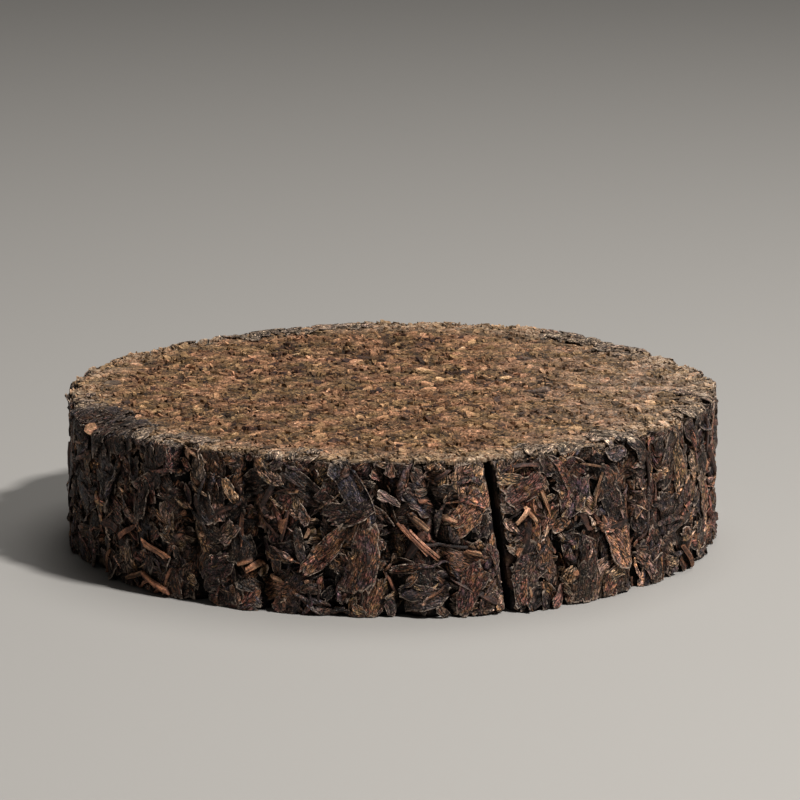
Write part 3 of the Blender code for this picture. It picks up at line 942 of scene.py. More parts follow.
@dataclass(frozen=True)
class LeafFinish:
    """Pressed leaf: wrinkled, cracked and split along its blade, each leaf with a tint of its own.

    What stands out has a sheen. Hollows, creases, outlines and low leaves get painted shade, and ridges,
    lips and leaves that stand out get painted highlights. Edges are worn pale, partly as painted highlight,
    and a crumbled rim shows its leaves bare of dust and darkened as painted shade.
    """

    name: str = "pressed_leaf"
    wrinkle: float = 1.2 * MM
    crack: float = 3.0 * MM
    split: float = 1.5 * MM
    fine: float = 0.4 * MM
    dust_reach: float = 0.8 * MM

    def material(self, form: PressedForm) -> Material:
        """Makes the material."""
        bench = Bench(self.name)
        place, blade = bench.place(), bench.attribute("blade", vector=True)
        hollow, edge = bench.attribute("hollow"), bench.attribute("edge")
        dusty_and_unshaded = bench.span(bench.attribute("bare"), 0.0, 1.0, 1.0, 0.0)
        patches = bench.noise(place, 4.0 * MM, 3.0, 0.6)
        tone = bench.math("ADD", bench.attribute("tone"), bench.span(patches, 0.3, 0.7, -0.1, 0.1))
        drift = bench.span(bench.noise(place, 3.0 * MM, 5.0, 0.7), 0.35, 0.65, -0.36, 0.36)
        own = bench.math("ADD", bench.span(bench.split(blade, "XYZ", "Z"), 0.0, 0.7, 0.0, 1.0), drift)
        tinted = bench.span(tone, 0.5, 0.85, 1.0, 0.4)
        colour = bench.ramp(tone, Palette.LEAF)
        colour = bench.mix(tinted, colour, bench.ramp(own, Palette.LEAF_TINT), "MULTIPLY")
        stretched = lambda share: bench.scaled(blade, (share, 1.0, 1.0))
        along = stretched(0.3)
        wrinkles = bench.noise(along, self.wrinkle, 3.0, 0.8)
        folds = bench.ridges(along, 1.7 * self.wrinkle, 2.0, 0.8)
        apart = bench.span(bench.noise(place, 4.5 * MM, 2.0), 0.38, 0.5, 0.3, 0.0)
        bent = bench.warped(stretched(0.6), 1.6 * MM, 1.5 * MM)
        cracks = bench.math("ADD", bench.cells(bent, self.crack, edges=True), apart)
        splits = bench.cells(bench.warped(stretched(0.2), 1.4 * MM, 1.4 * MM), self.split, edges=True)
        fine = bench.noise(stretched(0.35), self.fine, 3.0)
        pits = bench.noise(stretched(0.7), 0.7 * MM, 2.0)
        # Painted shade and highlights: darker in hollows, along fold, crack and split lines, towards each
        # leaf's outline, on leaves that lie low and on the crumbled rim; lighter on ridges, on the lips
        # beside those lines and on leaves that stand out. Wrinkles, speckles and pits are the leaf's own.
        value = bench.times(
            bench.span(bench.attribute("shade"), 0.0, 1.0, 0.72, 2.06),
            bench.span(hollow, -0.8, 0.95, 1.95, 0.1),
            bench.span(wrinkles, 0.34, 0.66, 0.55, 1.5),
            bench.cut(folds, 0.06, 0.12, 1.6),
            bench.cut(cracks, 0.08, 0.1, 1.6),
            bench.cut(splits, 0.1, 0.3, 1.4),
            bench.span(fine, 0.43, 0.57, 0.33, 1.6),
            bench.span(pits, 0.38, 0.43, 0.22, 1.1),
            bench.span(edge, 0.74, 0.9, 1.0, 0.6),
            bench.span(dusty_and_unshaded, 0.0, 1.0, 0.55, 1.0),
        )
        near_rim = bench.span(bench.axis("Z"), form.thickness - self.dust_reach, form.thickness, 0.0, 0.3)
        specks = bench.span(bench.noise(place, 1.4 * MM, 4.0), 0.42, 0.6, 0.1, 1.0)
        colour = bench.mix(bench.times(near_rim, dusty_and_unshaded, specks), colour, RIM_DUST)
        # Pale edges: partly worn leaf edges, partly a painted highlight on edges that catch the light; none
        # in hollows and less on the crumbled rim.
        worn = bench.times(
            bench.span(edge, 0.9, 0.96, 0.0, 0.9),
            bench.span(bench.noise(place, 1.5 * MM, 3.0), 0.42, 0.56, 0.0, 1.0),
            bench.span(hollow, -0.3, 0.45, 1.0, 0.08),
            bench.span(dusty_and_unshaded, 0.0, 1.0, 0.6, 1.0),
        )
        colour = bench.mix(worn, bench.bright(colour, value), WORN_EDGE_AND_HIGHLIGHT)
        # Pale dust specks, kept on ridges and out of hollows, where they also serve as painted highlights.
        loose = bench.span(bench.noise(place, 0.5 * MM, 1.0), 0.6, 0.65, 0.0, 0.5)
        colour = bench.mix(bench.times(loose, bench.span(hollow, -0.6, 0.5, 1.0, 0.1)), colour, DUST_AND_HIGHLIGHT)
        normal = bench.bump(wrinkles, 1.4 * MM)
        normal = bench.bump(bench.span(folds, 0.0, 0.08, 0.0, 1.0), 0.35 * MM, 0.9, normal)
        normal = bench.bump(bench.span(cracks, 0.0, 0.08, 0.0, 1.0), 0.45 * MM, 0.9, normal)
        normal = bench.bump(fine, 0.32 * MM, 0.9, normal)
        sheen = bench.span(hollow, -0.6, 0.6, 0.5, 0.08)
        return bench.finish(colour, bench.span(fine, 0.25, 0.75, 0.36, 0.68), normal, sheen)


@dataclass(frozen=True)
class StalkFinish:
    """Split tea stalk: fibres along its length, from reddish brown to pale tan."""

    name: str = "tea_stalk"
    fibre: float = 0.6 * MM

    def material(self) -> Material:
        """Makes the material."""
        bench = Bench(self.name)
        blade = bench.attribute("blade", vector=True)
        fibres = bench.noise(bench.scaled(blade, (0.07, 1.0, 1.0)), self.fibre, 3.0)
        patches = bench.noise(bench.place(), 2.5 * MM, 4.0, 0.6)
        rough = bench.noise(bench.place(), 0.5 * MM, 3.0, 0.6)
        tone = bench.math("ADD", bench.attribute("tone"), bench.span(patches, 0.3, 0.7, -0.16, 0.12))
        value = bench.times(
            bench.span(fibres, 0.36, 0.62, 0.26, 1.42),
            bench.span(bench.attribute("shade"), 0.0, 1.0, 0.6, 1.2),
            # Painted shade in hollows, and a painted highlight where the stalk stands out.
            bench.span(bench.attribute("hollow"), -0.6, 1.0, 1.25, 0.13),
            bench.span(patches, 0.3, 0.6, 0.6, 1.15),
            bench.span(rough, 0.34, 0.6, 0.55, 1.15),
        )
        normal = bench.bump(rough, 0.3 * MM, 0.9, bench.bump(fibres, 0.45 * MM))
        return bench.finish(bench.bright(bench.ramp(tone, Palette.STALK), value), 0.55, normal, 0.4)


@dataclass(frozen=True)
class SawnFinish:
    """What the saw left on the top: dry broken stalk and leaf, dustier to the rim, and paler and greyer to
    the right as a painted sheen.
    """

    crumb: float = 0.8 * MM
    crumbled: float = 1.0
    rim_band: float = 16.0 * MM
    grey_from: float = 25.0 * MM
    grey_to: float = 100.0 * MM

    def sawn(self, bench: Bench, form: PressedForm, tone: object) -> Socket:
        """The dry tea's colour for a tone, broken into crumbs with painted shade in their gaps, with dust by
        the rim and a painted grey sheen on the right.
        """
        place = bench.place()
        crumbly = bench.warped(place, 1.2 * MM, 0.9 * MM)
        crumbs = bench.cells(crumbly, self.crumb, edges=False)
        gaps = bench.span(bench.cells(crumbly, self.crumb, edges=True), 0.02, 0.2, 0.0, 1.0)
        own = bench.span(crumbs, 0.0, 1.0, -0.2 * self.crumbled, 0.22 * self.crumbled)
        hue = bench.span(bench.noise(place, 9.0 * MM, 4.0, 0.4), 0.4, 0.6, 0.0, 1.0)
        colour = bench.ramp(bench.math("ADD", tone, own), Palette.TOP)
        colour = bench.mix(1.0, colour, bench.mix(hue, OLIVE, PINKISH), "MULTIPLY")
        drift = bench.times(
            bench.span(bench.noise(place, 9.0 * MM, 4.0, 0.5), 0.35, 0.65, 0.25, 1.0),
            bench.span(bench.noise(place, 0.9 * MM, 3.0), 0.4, 0.6, 0.15, 1.1),
        )
        near_rim = bench.span(bench.reach(), form.radius - self.rim_band, form.radius, 0.0, 0.88)
        # Paler and greyer towards the right, in patches: a painted sheen where the light falls.
        sheen_to_right = bench.span(bench.axis("X"), self.grey_from, self.grey_to, 0.0, 0.9)
        colour = bench.mix(bench.times(near_rim, drift), colour, RIM_DUST)
        colour = bench.mix(bench.times(sheen_to_right, drift), colour, GREY_SHEEN)
        # Painted shade: darker in the gaps between crumbs; each crumb's own tone varies at random.
        value = bench.times(
            bench.span(gaps, 0.0, 1.0, 0.96 - 0.45 * self.crumbled, 1.05),
            bench.span(crumbs, 0.0, 1.0, 1.0 - 0.2 * self.crumbled, 1.0 + 0.25 * self.crumbled),
        )
        return bench.bright(colour, value)


@dataclass(frozen=True)
class ChipFinish(SawnFinish):
    """Chips and strands of the sawn top."""

    name: str = "sawn_chip"
    crumbled: float = 0.4

    def material(self, form: PressedForm) -> Material:
        """Makes the material."""
        bench = Bench(self.name)
        grain = bench.noise(bench.place(), 0.6 * MM, 4.0, 0.4)
        tone = bench.math("ADD", bench.attribute("tone"), bench.span(grain, 0.3, 0.7, -0.12, 0.12))
        value = bench.times(
            bench.span(bench.attribute("shade"), 0.0, 1.0, 0.8, 1.15),
            bench.span(grain, 0.3, 0.7, 0.64, 1.34),
            # Painted shade in hollows, and a painted highlight where the chip stands out.
            bench.span(bench.attribute("hollow"), -0.8, 0.9, 1.3, 0.42),
        )
        colour = bench.bright(self.sawn(bench, form, tone), value)
        return bench.finish(colour, 0.85, bench.bump(grain, 0.25 * MM), 0.25)


@dataclass(frozen=True)
class CoreFinish(SawnFinish):
    """The pressed mass: dark matted leaf on the side, and dry sawn tea with dust on the top, both darkened
    in cracks, cavities and hollows as painted shade.
    """

    name: str = "pressed_mass"

    def material(self, form: PressedForm) -> Material:
        """Makes the material."""
        bench = Bench(self.name)
        place, cavity, hollow = bench.place(), bench.attribute("cavity"), bench.attribute("hollow")
        matted = bench.noise(bench.scaled(place, (1.0, 1.0, 0.4)), 1.1 * MM, 5.0, 0.5)
        tone = bench.times(bench.attribute("tone"), 0.72)
        tone = bench.math("ADD", tone, bench.span(matted, 0.3, 0.7, -0.08, 0.08))
        # Painted shade: the side darker in its cracks, cavities and hollows, lighter where it stands out.
        value = bench.times(
            bench.span(cavity, -1.1, 0.9, 0.1, 1.2),
            bench.span(matted, 0.32, 0.66, 0.5, 1.4),
            bench.span(hollow, -0.5, 1.0, 1.2, 0.16),
        )
        side = bench.bright(bench.ramp(tone, Palette.LEAF), value)
        grain = bench.noise(place, 0.6 * MM, 4.0, 0.4)
        chips = bench.cells(bench.warped(place, 1.2 * MM, 0.9 * MM), 1.9 * MM, edges=False)
        mixed = bench.math(
            "ADD",
            bench.span(grain, 0.32, 0.68, 0.22, 0.62),
            bench.span(chips, 0.0, 1.0, -0.14, 0.18),
            bench.span(bench.noise(place, 9.0 * MM, 4.0, 0.6), 0.3, 0.7, -0.24, 0.17),
        )
        # Painted shade: the top darker in its pits, low places and hollows.
        value = bench.span(cavity, -1.2, 0.5, 0.35, 1.12)
        value = bench.times(value, bench.span(hollow, -0.5, 1.2, 1.15, 0.5))
        top = bench.bright(self.sawn(bench, form, mixed), value)
        normal = bench.bump(grain, 0.45 * MM, 0.9, bench.bump(matted, 0.7 * MM))
        return bench.finish(bench.mix(bench.attribute("on_top"), side, top), 0.8, normal, 0.3)


@dataclass(frozen=True)
class FloorFinish:
    """A pale matt table."""

    name: str = "pale_table"
    colour: Colour = srgb(166, 164, 161)

    def material(self) -> Material:
        """Makes the material."""
        bench = Bench(self.name)
        grain = bench.noise(bench.place(), 3.0 * MM, 3.0)
        return bench.finish(self.colour, 0.7, bench.bump(grain, 0.02 * MM), 0.2)


@dataclass
class PressedCore:
    """The slice's own body, with a dense surface: a fluted, cracked side and a sawn, gritty top."""

    form: PressedForm
    name: str = "pressed_core"
    grid: int = 190
    rows: int = 60
    slot_crowding: float = 8.0
    slot_zone: float = 1.7 * MM
    rim_pull: float = 1.25
    flute_fade: int = 12
    side_sunk: float = 0.4 * MM
    side_grit: float = 0.55 * MM
    plate: tuple = mm(7.0, 9.0)
    crumb: tuple = mm(2.6, 3.0)
    grit: float = 0.5 * MM
    seed: int = 11

    def square(self) -> Arrays:
        """The disc as a square grid: on each square ring the angle runs evenly, so areas stay alike."""
        a, b = np.meshgrid(*[np.linspace(-1.0, 1.0, self.grid + 1)] * 2, indexing="ij")
        wide = np.abs(a) >= np.abs(b)
        share = np.where(wide, a, b)
        ratio = np.where(wide, b, a) / np.where(share == 0.0, 1.0, share)
        angle = np.where(wide, 45.0 * ratio, 90.0 - 45.0 * ratio)
        return np.abs(share), angle + 180.0 * (share < 0.0)

    def edge_loop(self, index: Array) -> Array:
        """The square's border, in the order of its angle."""
        return np.concatenate([index[-1, :-1], index[:0:-1, -1], index[0, :0:-1], index[:-1, 0]])

    def crowded(self, line: Array) -> Array:
        """Lines drawn towards the slot, so that its walls have columns of their own.

        The density is 1 + crowding * exp(-(arc / zone)^4), and its running sum is turned round.
        """
        spread = np.linspace(-180.0, 180.0, 40001)
        arc = self.form.arc_between(spread, 0.0)
        density = 1.0 + self.slot_crowding * np.exp(-((arc / self.slot_zone) ** 4))
        total = np.cumsum(density)
        total = (total - total[0]) / (total[-1] - total[0]) * 360.0 - 180.0
        offset = short_way(line - self.form.slot_line)
        return line - offset + np.interp(offset, total, spread)

    def cells(self, line: Array, height: Array, size: tuple, seed: int) -> Arrays:
        """Random cells over the side, like overlapping scraps of leaf.

        Each point belongs to the nearest of the jittered cell middles round it. A cell has its own
        level and its own tilt, and the gap between nearest and next nearest marks the cracks.

        Args:
            line: lines of the points.
            height: heights of the points.
            size: the width and the height of a cell.
            seed: of the random draws.

        Returns:
            The level with tilt, from about -1 to 1; the crack, 0 in it; and a random tone.
        """
        table = np.random.default_rng(seed).random((Grain.TABLE, 5))
        around = round(2.0 * math.pi * self.form.radius / size[0])
        x, y = (line % 360.0) / 360.0 * around, height / size[1] + 0.13 * around
        column, row = np.floor(x).astype(int), np.floor(y).astype(int)
        nearest, second = np.full((2, *x.shape), 9.0)
        level, tone = np.zeros((2, *x.shape))
        for step_x, step_y in itertools.product((-1, 0, 1), repeat=2):
            cell_x, cell_y = column + step_x, row + step_y
            draws = table[((cell_x % around) * 7919 + cell_y * 104729) % Grain.TABLE]
            away_x, away_y = x - cell_x - draws[..., 0], y - cell_y - draws[..., 1]
            distance = np.hypot(away_x, away_y)
            closer = distance < nearest
            second = np.where(closer, nearest, np.minimum(second, distance))
            nearest = np.where(closer, distance, nearest)
            tilt = (draws[..., 2] - 0.5) * away_x + (draws[..., 3] - 0.5) * away_y
            level = np.where(closer, 0.9 * (draws[..., 4] - 0.5) + 1.6 * tilt, level)
            tone = np.where(closer, (draws[..., 4] * 7.0) % 1.0, tone)
        return level, smooth_step(second - nearest, 0.0, 0.22), tone

    def side(self, line: Array, height: Array) -> Arrays:
        """The side's radius, cavity and tone: scraps, smaller scraps, lumps, and the slot cut in."""
        form = self.form
        plates, plate_crack, tone = self.cells(line, height, self.plate, self.seed)
        crumbs, crumb_crack, _ = self.cells(line, height, self.crumb, self.seed + 1)
        points = form.on_circle(line, form.radius, height)
        lumps = Grain(self.seed + 2).layered(points, 1.8 * MM, 2)
        cavity = 0.7 * plates + 0.45 * crumbs - 0.9 * (1.0 - plate_crack) - 0.4 * (1.0 - crumb_crack)
        cavity += 0.3 * lumps
        radius = form.side_radius(line, height) - self.side_sunk + self.side_grit * cavity
        arc = np.abs(form.arc_between(line, form.slot_line))
        span = form.slot_half_mouth - form.slot_half_floor
        cut = np.clip((form.slot_half_mouth - arc) / span, 0.0, 1.0)
        top = form.thickness - form.slot_cap
        cut = cut * (1.0 - smooth_step(height, top - 0.3 * MM, top))
        floor = form.outline_radius(line) - form.slot_depth + 0.4 * MM * lumps
        return radius * (1.0 - cut) + floor * cut, cavity - 1.6 * cut, tone

    def build(self, side_relief: Relief, top_relief: Relief) -> Object:
        """Makes the closed body: the top's square grid, the side's rings below its border, the base.

        Args:
            side_relief: how far the pieces on the side stand out.
            top_relief: how far the pieces on the top stand out.

        Returns:
            The object.
        """
        form = self.form
        share, angle = self.square()
        index = np.arange(share.size).reshape(share.shape)
        loop = self.edge_loop(index)
        columns = self.crowded(angle.ravel()[loop])
        count = len(columns)
        lines, insets, rims = form.crumbled_edges()
        inset, rim = (np.interp(columns, lines, edge, period=360.0) for edge in (insets, rims))
        ragged = Grain(self.seed + 3)
        around = form.on_circle(columns, form.radius, 0.0)
        unworn = rim + 0.3 * MM * ragged.layered(around, 1.6 * MM, 2) - 0.1 * MM
        rim = unworn - form.worn_drop(form.bearing_of(columns, form.thickness), 0.0)
        inset = inset + 0.5 * MM * ragged.layered(around + 1.0, 2.2 * MM, 2)
        rise = np.linspace(0.0, 1.0, self.rows)
        heights = form.foot_height + (rim[None] - form.foot_height) * rise[:, None]
        lines = np.broadcast_to(columns, heights.shape)
        radius, cavity, tone = self.side(lines, heights)
        rings = form.on_circle(form.bearing_of(lines, heights), radius, heights)
        foot = radius[0] - inset.clip(0.1 * MM)
        base = form.on_circle(form.bearing_of(columns, form.foot_height), foot, 0.0)

        out = 1.0 - (1.0 - share) ** self.rim_pull
        line = angle + (self.crowded(angle) - angle) * out**8
        rim_radius = np.interp(line, columns, radius[-1], period=360.0)
        rim_height = np.interp(line, columns, unworn, period=360.0)
        top_radius = out * (form.radius + (rim_radius - form.radius) * out**self.flute_fade)
        bearing = form.bearing_of(line, form.thickness)
        flat = form.on_circle(bearing, top_radius, 0.0)
        grit = Grain(self.seed + 4)
        relief = 0.75 * grit.layered(flat, 5.5 * MM, 3) + 0.65 * grit.layered(flat + 1.0, 2.3 * MM, 2)
        top_cavity = relief - 1.8 * smooth_step(grit.layered(flat + 2.0, 3.0 * MM, 2), 0.35, 0.8)
        past = top_radius - rim_radius
        drop = (form.thickness - rim_height) * smooth_step(past, -form.rim_width, 0.0)
        fade = 1.0 - smooth_step(past, -1.5 * MM, 0.0)
        inside = np.maximum(-past, 0.0)
        height = form.thickness - drop - form.worn_drop(bearing, inside) + self.grit * top_cavity * fade
        top = form.on_circle(bearing, top_radius, height).reshape(-1, 3)
        top[loop] = rings[-1]

        points = np.concatenate([top, rings[:-1].reshape(-1, 3), base, np.zeros((1, 3))])
        ring_index = share.size + np.arange((self.rows - 1) * count).reshape(-1, count)
        base_index = ring_index[-1] + count
        upright = np.concatenate([base_index[None], ring_index, loop[None]])
        corners = [np.concatenate(both) for both in zip(grid_quads(index), ring_quads(upright))]
        middle = np.full(count, len(points) - 1)
        bottom = np.stack([middle, np.roll(base_index, -1), base_index], 1)
        ragged_edge = 0.8 * MM * ragged.layered(flat + 3.0, 2.5 * MM, 2)
        bare = form.worn_width(bearing) + 0.6 * MM - ragged_edge
        on_top = np.zeros(len(points))
        on_top[: share.size] = smooth_step(inside - bare, -0.5 * MM, 0.5 * MM).ravel()
        on_top[ring_index[-1]] = 0.5
        from_top = np.arange(len(points)) < share.size
        under = np.full(count + 1, 0.3)
        layers = {
            "on_top": on_top,
            "hollow": np.where(from_top, top_relief.hollow(points), side_relief.hollow(points)),
            "cavity": np.concatenate([top_cavity.ravel(), cavity[:-1].ravel(), np.zeros(count + 1)]),
            "tone": np.concatenate([np.full(share.size, 0.25), tone[:-1].ravel(), under]),
        }
        faces = np.concatenate([halves(*corners), bottom])
        return new_mesh(self.name, points, faces, self.places(faces, len(points)), layers, 60.0)

    def places(self, faces: Array, count: int) -> Array:
        """Map coordinates of every corner: the top's square, four side strips beside it, and the base.

        Args:
            faces: the core's triangles.
            count: how many points it has.

        Returns:
            Coordinates, of shape (faces * 3, 2).
        """
        index = np.arange((self.grid + 1) ** 2).reshape(self.grid + 1, -1)
        around, loop = 4 * self.grid, self.edge_loop(index)
        column, row = np.zeros((2, count), int)
        column[loop], row[loop] = np.arange(around), self.rows
        rest = np.arange(count - 1 - index.size)
        column[index.size : -1], row[index.size : -1] = rest % around, 1 + rest // around
        row[-1 - around :] = 0
        spots = np.zeros((count, 2))
        spots[: index.size] = 0.6 * np.stack(np.divmod(index.ravel(), self.grid + 1), 1) / self.grid
        corners = spots[faces]
        quads = self.grid**2 + around * self.rows
        is_side = np.zeros(len(faces), bool)
        for start in (0, quads):
            is_side[start + self.grid**2 : start + quads] = True
        columns = column[faces[is_side]]
        first = columns.min(axis=1, keepdims=True)
        columns = np.where(columns - first > around // 2, columns - around, columns)
        quarter = (columns.max(axis=1, keepdims=True) - 1) % around // self.grid
        along = ((columns - quarter * self.grid + self.grid) % around - self.grid) / self.grid
        along = 0.58 * np.clip(along, 0.0, 1.0)
        up = 0.62 + 0.18 * (quarter % 2) + 0.16 * (row[faces[is_side]] / self.rows)
        flat, tall = np.stack([along, up], -1), np.stack([up, along], -1)
        corners[is_side] = np.where(quarter[..., None] < 2, flat, tall)
        bottom = faces[2 * quads :]
        reach = np.where(bottom == count - 1, 0.0, 0.17)
        corners[2 * quads :] = 0.8 + reach[..., None] * circle(around)[column[bottom]]
        return corners.reshape(-1, 2)


@dataclass
class Leaves:
    """Scraps of leaf pressed on the side: thin wrinkled sheets, torn, tilted, some with a curled edge."""

    form: PressedForm
    name: str
    count: int
    length: tuple
    shape: tuple
    rows: int
    columns: int
    seed: int
    proud: tuple = mm(-0.4, 0.75)
    tilt: float = 0.55 * MM
    crease: float = 0.5
    fold: tuple = mm(0.8, 2.2)
    fold_turn: float = 0.4
    wedge: float = 0.45
    pressed: tuple = mm(0.1, 0.85)
    loose: float = 0.12
    creases: int = 3
    wrinkle: float = 0.28 * MM
    curled: float = 0.4
    curl_radius: tuple = mm(0.6, 1.3)
    thickness: tuple = mm(0.22, 0.42)
    turn: tuple = (-10.0, 56.0)
    tones: tuple = (0.0, 0.78)
    rare_tones: tuple = (0.66, 0.8)
    rare_share: float = 0.035
    heights: tuple = (0.0, 1.0)
    over_rim: bool = False
    shown: Sequence[Shown] = ()
    studio: "Studio | None" = None
    solid_leaves: bool = False

    def from_solid(self) -> tuple:
        """The leaves of the solid itself, drawn as it draws them: places, lengths, widths, prouds."""
        draw = random.Random(self.form.seed + 2)
        rows = []
        for left, right in self.form.strips(self.form.piece_edge):
            for place in range(4):
                line = draw.uniform(left, right)
                height = self.form.thickness * (place + draw.uniform(0.15, 0.85)) / 4
                size = mm(draw.uniform(10.0, 20.0), draw.uniform(5.5, 10.0), draw.uniform(0.8, 1.9))
                turn, _ = draw.gauss(0.0, 38.0), draw.uniform(-0.55, 0.55)
                rows.append((line, height, left, right, turn, *size))
        columns = np.array(rows).T
        return SidePlaces(*columns[:5], np.ones(len(rows))), *columns[5:]

    def rows_of(self, scatter: Scatter) -> list:
        """All leaves of the piece: the scattered ones, the solid's own and those the photograph shows.

        Args:
            scatter: the random draws.

        Returns:
            Places, lengths, widths, heights over the side and tones.
        """
        places = scatter.on_side(self.count, self.turn, self.heights)
        if self.over_rim:
            places = scatter.on_worn_rim(places)
        draws = ((self.length, 1.7), (self.shape,), (self.proud, 1.2), (self.tones, 1.1), (self.rare_tones,))
        length, shape, proud, common, rare = scatter.each(self.count, *draws)
        tone = np.where(scatter.rng.random(self.count) < self.rare_share, rare, common)
        rows = [places, length, length * shape, proud, tone]
        if self.solid_leaves:
            *own, own_proud = self.from_solid()
            rows = joined_rows((*own, 0.7 * own_proud, scatter.between(len(own_proud), (0.0, 0.6))), rows)
        if self.shown:
            rows = joined_rows(rows, scatter.where_shown(self.studio, self.shown))
        return rows

    def pieces(self) -> Pieces:
        """Makes every leaf as one grid of points, lays it on the side and thickens it.

        Along a leaf u runs from -1 to 1, and across it v does. Its half width is
        end + (1 - end) * (1 - |u|^a)^b, wider at one end and ragged by noise. Its height is its own
        proudness, a tilt both ways and a twist, sharp folds that rise with the distance to a few
        random lines, wrinkles and noise. Past a line near one edge it rolls up on an arc. Most leaves
        were pressed on the basket, so what would stand out past their own level there is turned off
        softly.

        Returns:
            The leaves, with each one's edges, own coordinates, tone and shade.
        """
        scatter = Scatter(self.form, self.seed)
        rng = scatter.rng
        places, length, width, proud, tone = self.rows_of(scatter)
        total, shown = len(length), len(self.shown)
        one = lambda limits: per_piece(scatter.between(total, limits))
        chance = lambda: rng.random((total, 1, 1))
        across_it = np.linspace(-1.0, 1.0, self.columns)
        along_it = np.linspace(-1.0, 1.0, self.rows)[:, None]
        u, v, _ = np.broadcast_arrays(along_it, across_it, np.zeros((total, 1, 1)))
        half_length, half_width = 0.5 * per_piece(length), 0.5 * per_piece(width)
        end = one((0.25, 0.95))
        profile = end + (1.0 - end) * (1.0 - np.abs(u) ** one((2.0, 5.0))) ** one((0.4, 0.9))
        profile = profile * (1.0 + one((-self.wedge, self.wedge)) * u)
        ragged = rng.normal(0.0, 0.11, (total, self.rows, 2))
        side_rag = np.where(v > 0.0, ragged[:, :, :1], ragged[:, :, 1:])
        torn = rng.normal(0.0, 0.08, (total, 2, self.columns))
        end_rag = np.where(u > 0.0, torn[:, :1], torn[:, 1:])
        along = half_length * u * (1.0 + end_rag * u * u)
        flat_across = half_width * v * profile * (1.0 + side_rag * v * v)
        roll = one(self.curl_radius)
        start = np.where(chance() < self.curled, one((0.3, 0.75)), 2.0) * half_width
        past = np.maximum(flat_across - start, 0.0) / roll * (1.0 - 0.5 * u * u * chance())
        past = np.minimum(past, 2.7)
        across = np.where(past > 0.0, start + roll * np.sin(past), flat_across)
        rise = roll * (1.0 - np.cos(past))
        across = across + one((-0.35, 0.35)) * half_width * u * u + one((-0.35, 0.35)) * along
        for _ in range(self.creases):
            angle = rng.normal(0.0, self.fold_turn, (total, 1, 1))
            away = flat_across * np.cos(angle) + along * np.sin(angle) - one((-0.5, 0.5)) * half_width
            slope = one((-1.0, 1.0)) * self.crease
            limit = one(self.fold) * np.clip(half_width / (3.0 * MM), 0.3, 1.0)
            zigzag = np.abs((away + limit) % (2.0 * limit) - limit)
            rise = rise + slope * (limit - zigzag) - 0.5 * slope * limit
        local = np.stack([along, flat_across, 0.0 * along], -1)
        local = local + rng.random((total, 1, 1, 3)) * 0.5
        rise = rise + self.wrinkle * Grain(self.seed + 1).layered(local, 2.0 * MM, 2)
        rise = rise + one((-1.0, 1.0)) * self.tilt * u + one((-1.0, 1.0)) * self.tilt * v
        rise = rise + one((-1.0, 1.0)) * 0.5 * self.tilt * u * v + per_piece(proud)
        wall = np.where(chance() < self.loose, 9.0 * MM, one(self.pressed))
        wall[total - shown :, 0, 0] = proud[total - shown :] + 0.1 * MM
        rise = wall - softly(wall - rise, 0.35 * MM)
        points = places.lay(self.form, along, across, rise, self.over_rim)
        solid = thick_sheets(points, scatter.between(total, self.thickness))
        flat = lambda values: np.concatenate([values.reshape(total, -1)] * 2, axis=1)
        own = chance() * 0.7
        own_shade = chance()
        own_shade[total - shown :] = 0.1
        layers = {
            "edge": flat(np.maximum(np.abs(u), np.abs(v))),
            "blade": np.stack([flat(along + own), flat(flat_across + own), flat(own + 0.0 * along)], -1),
            "tone": flat(per_piece(tone) + 0.0 * along),
            # Higher leaves are lighter and lower ones darker, a painted shade; the rest is each leaf's
            # random tone.
            "shade": flat(0.55 * np.clip((rise + 0.6 * MM) / (2.2 * MM), 0.0, 0.65) + 0.36 * own_shade),
        }
        return Pieces(self.name, solid, *sheet_faces(self.rows, self.columns), layers, 40.0)


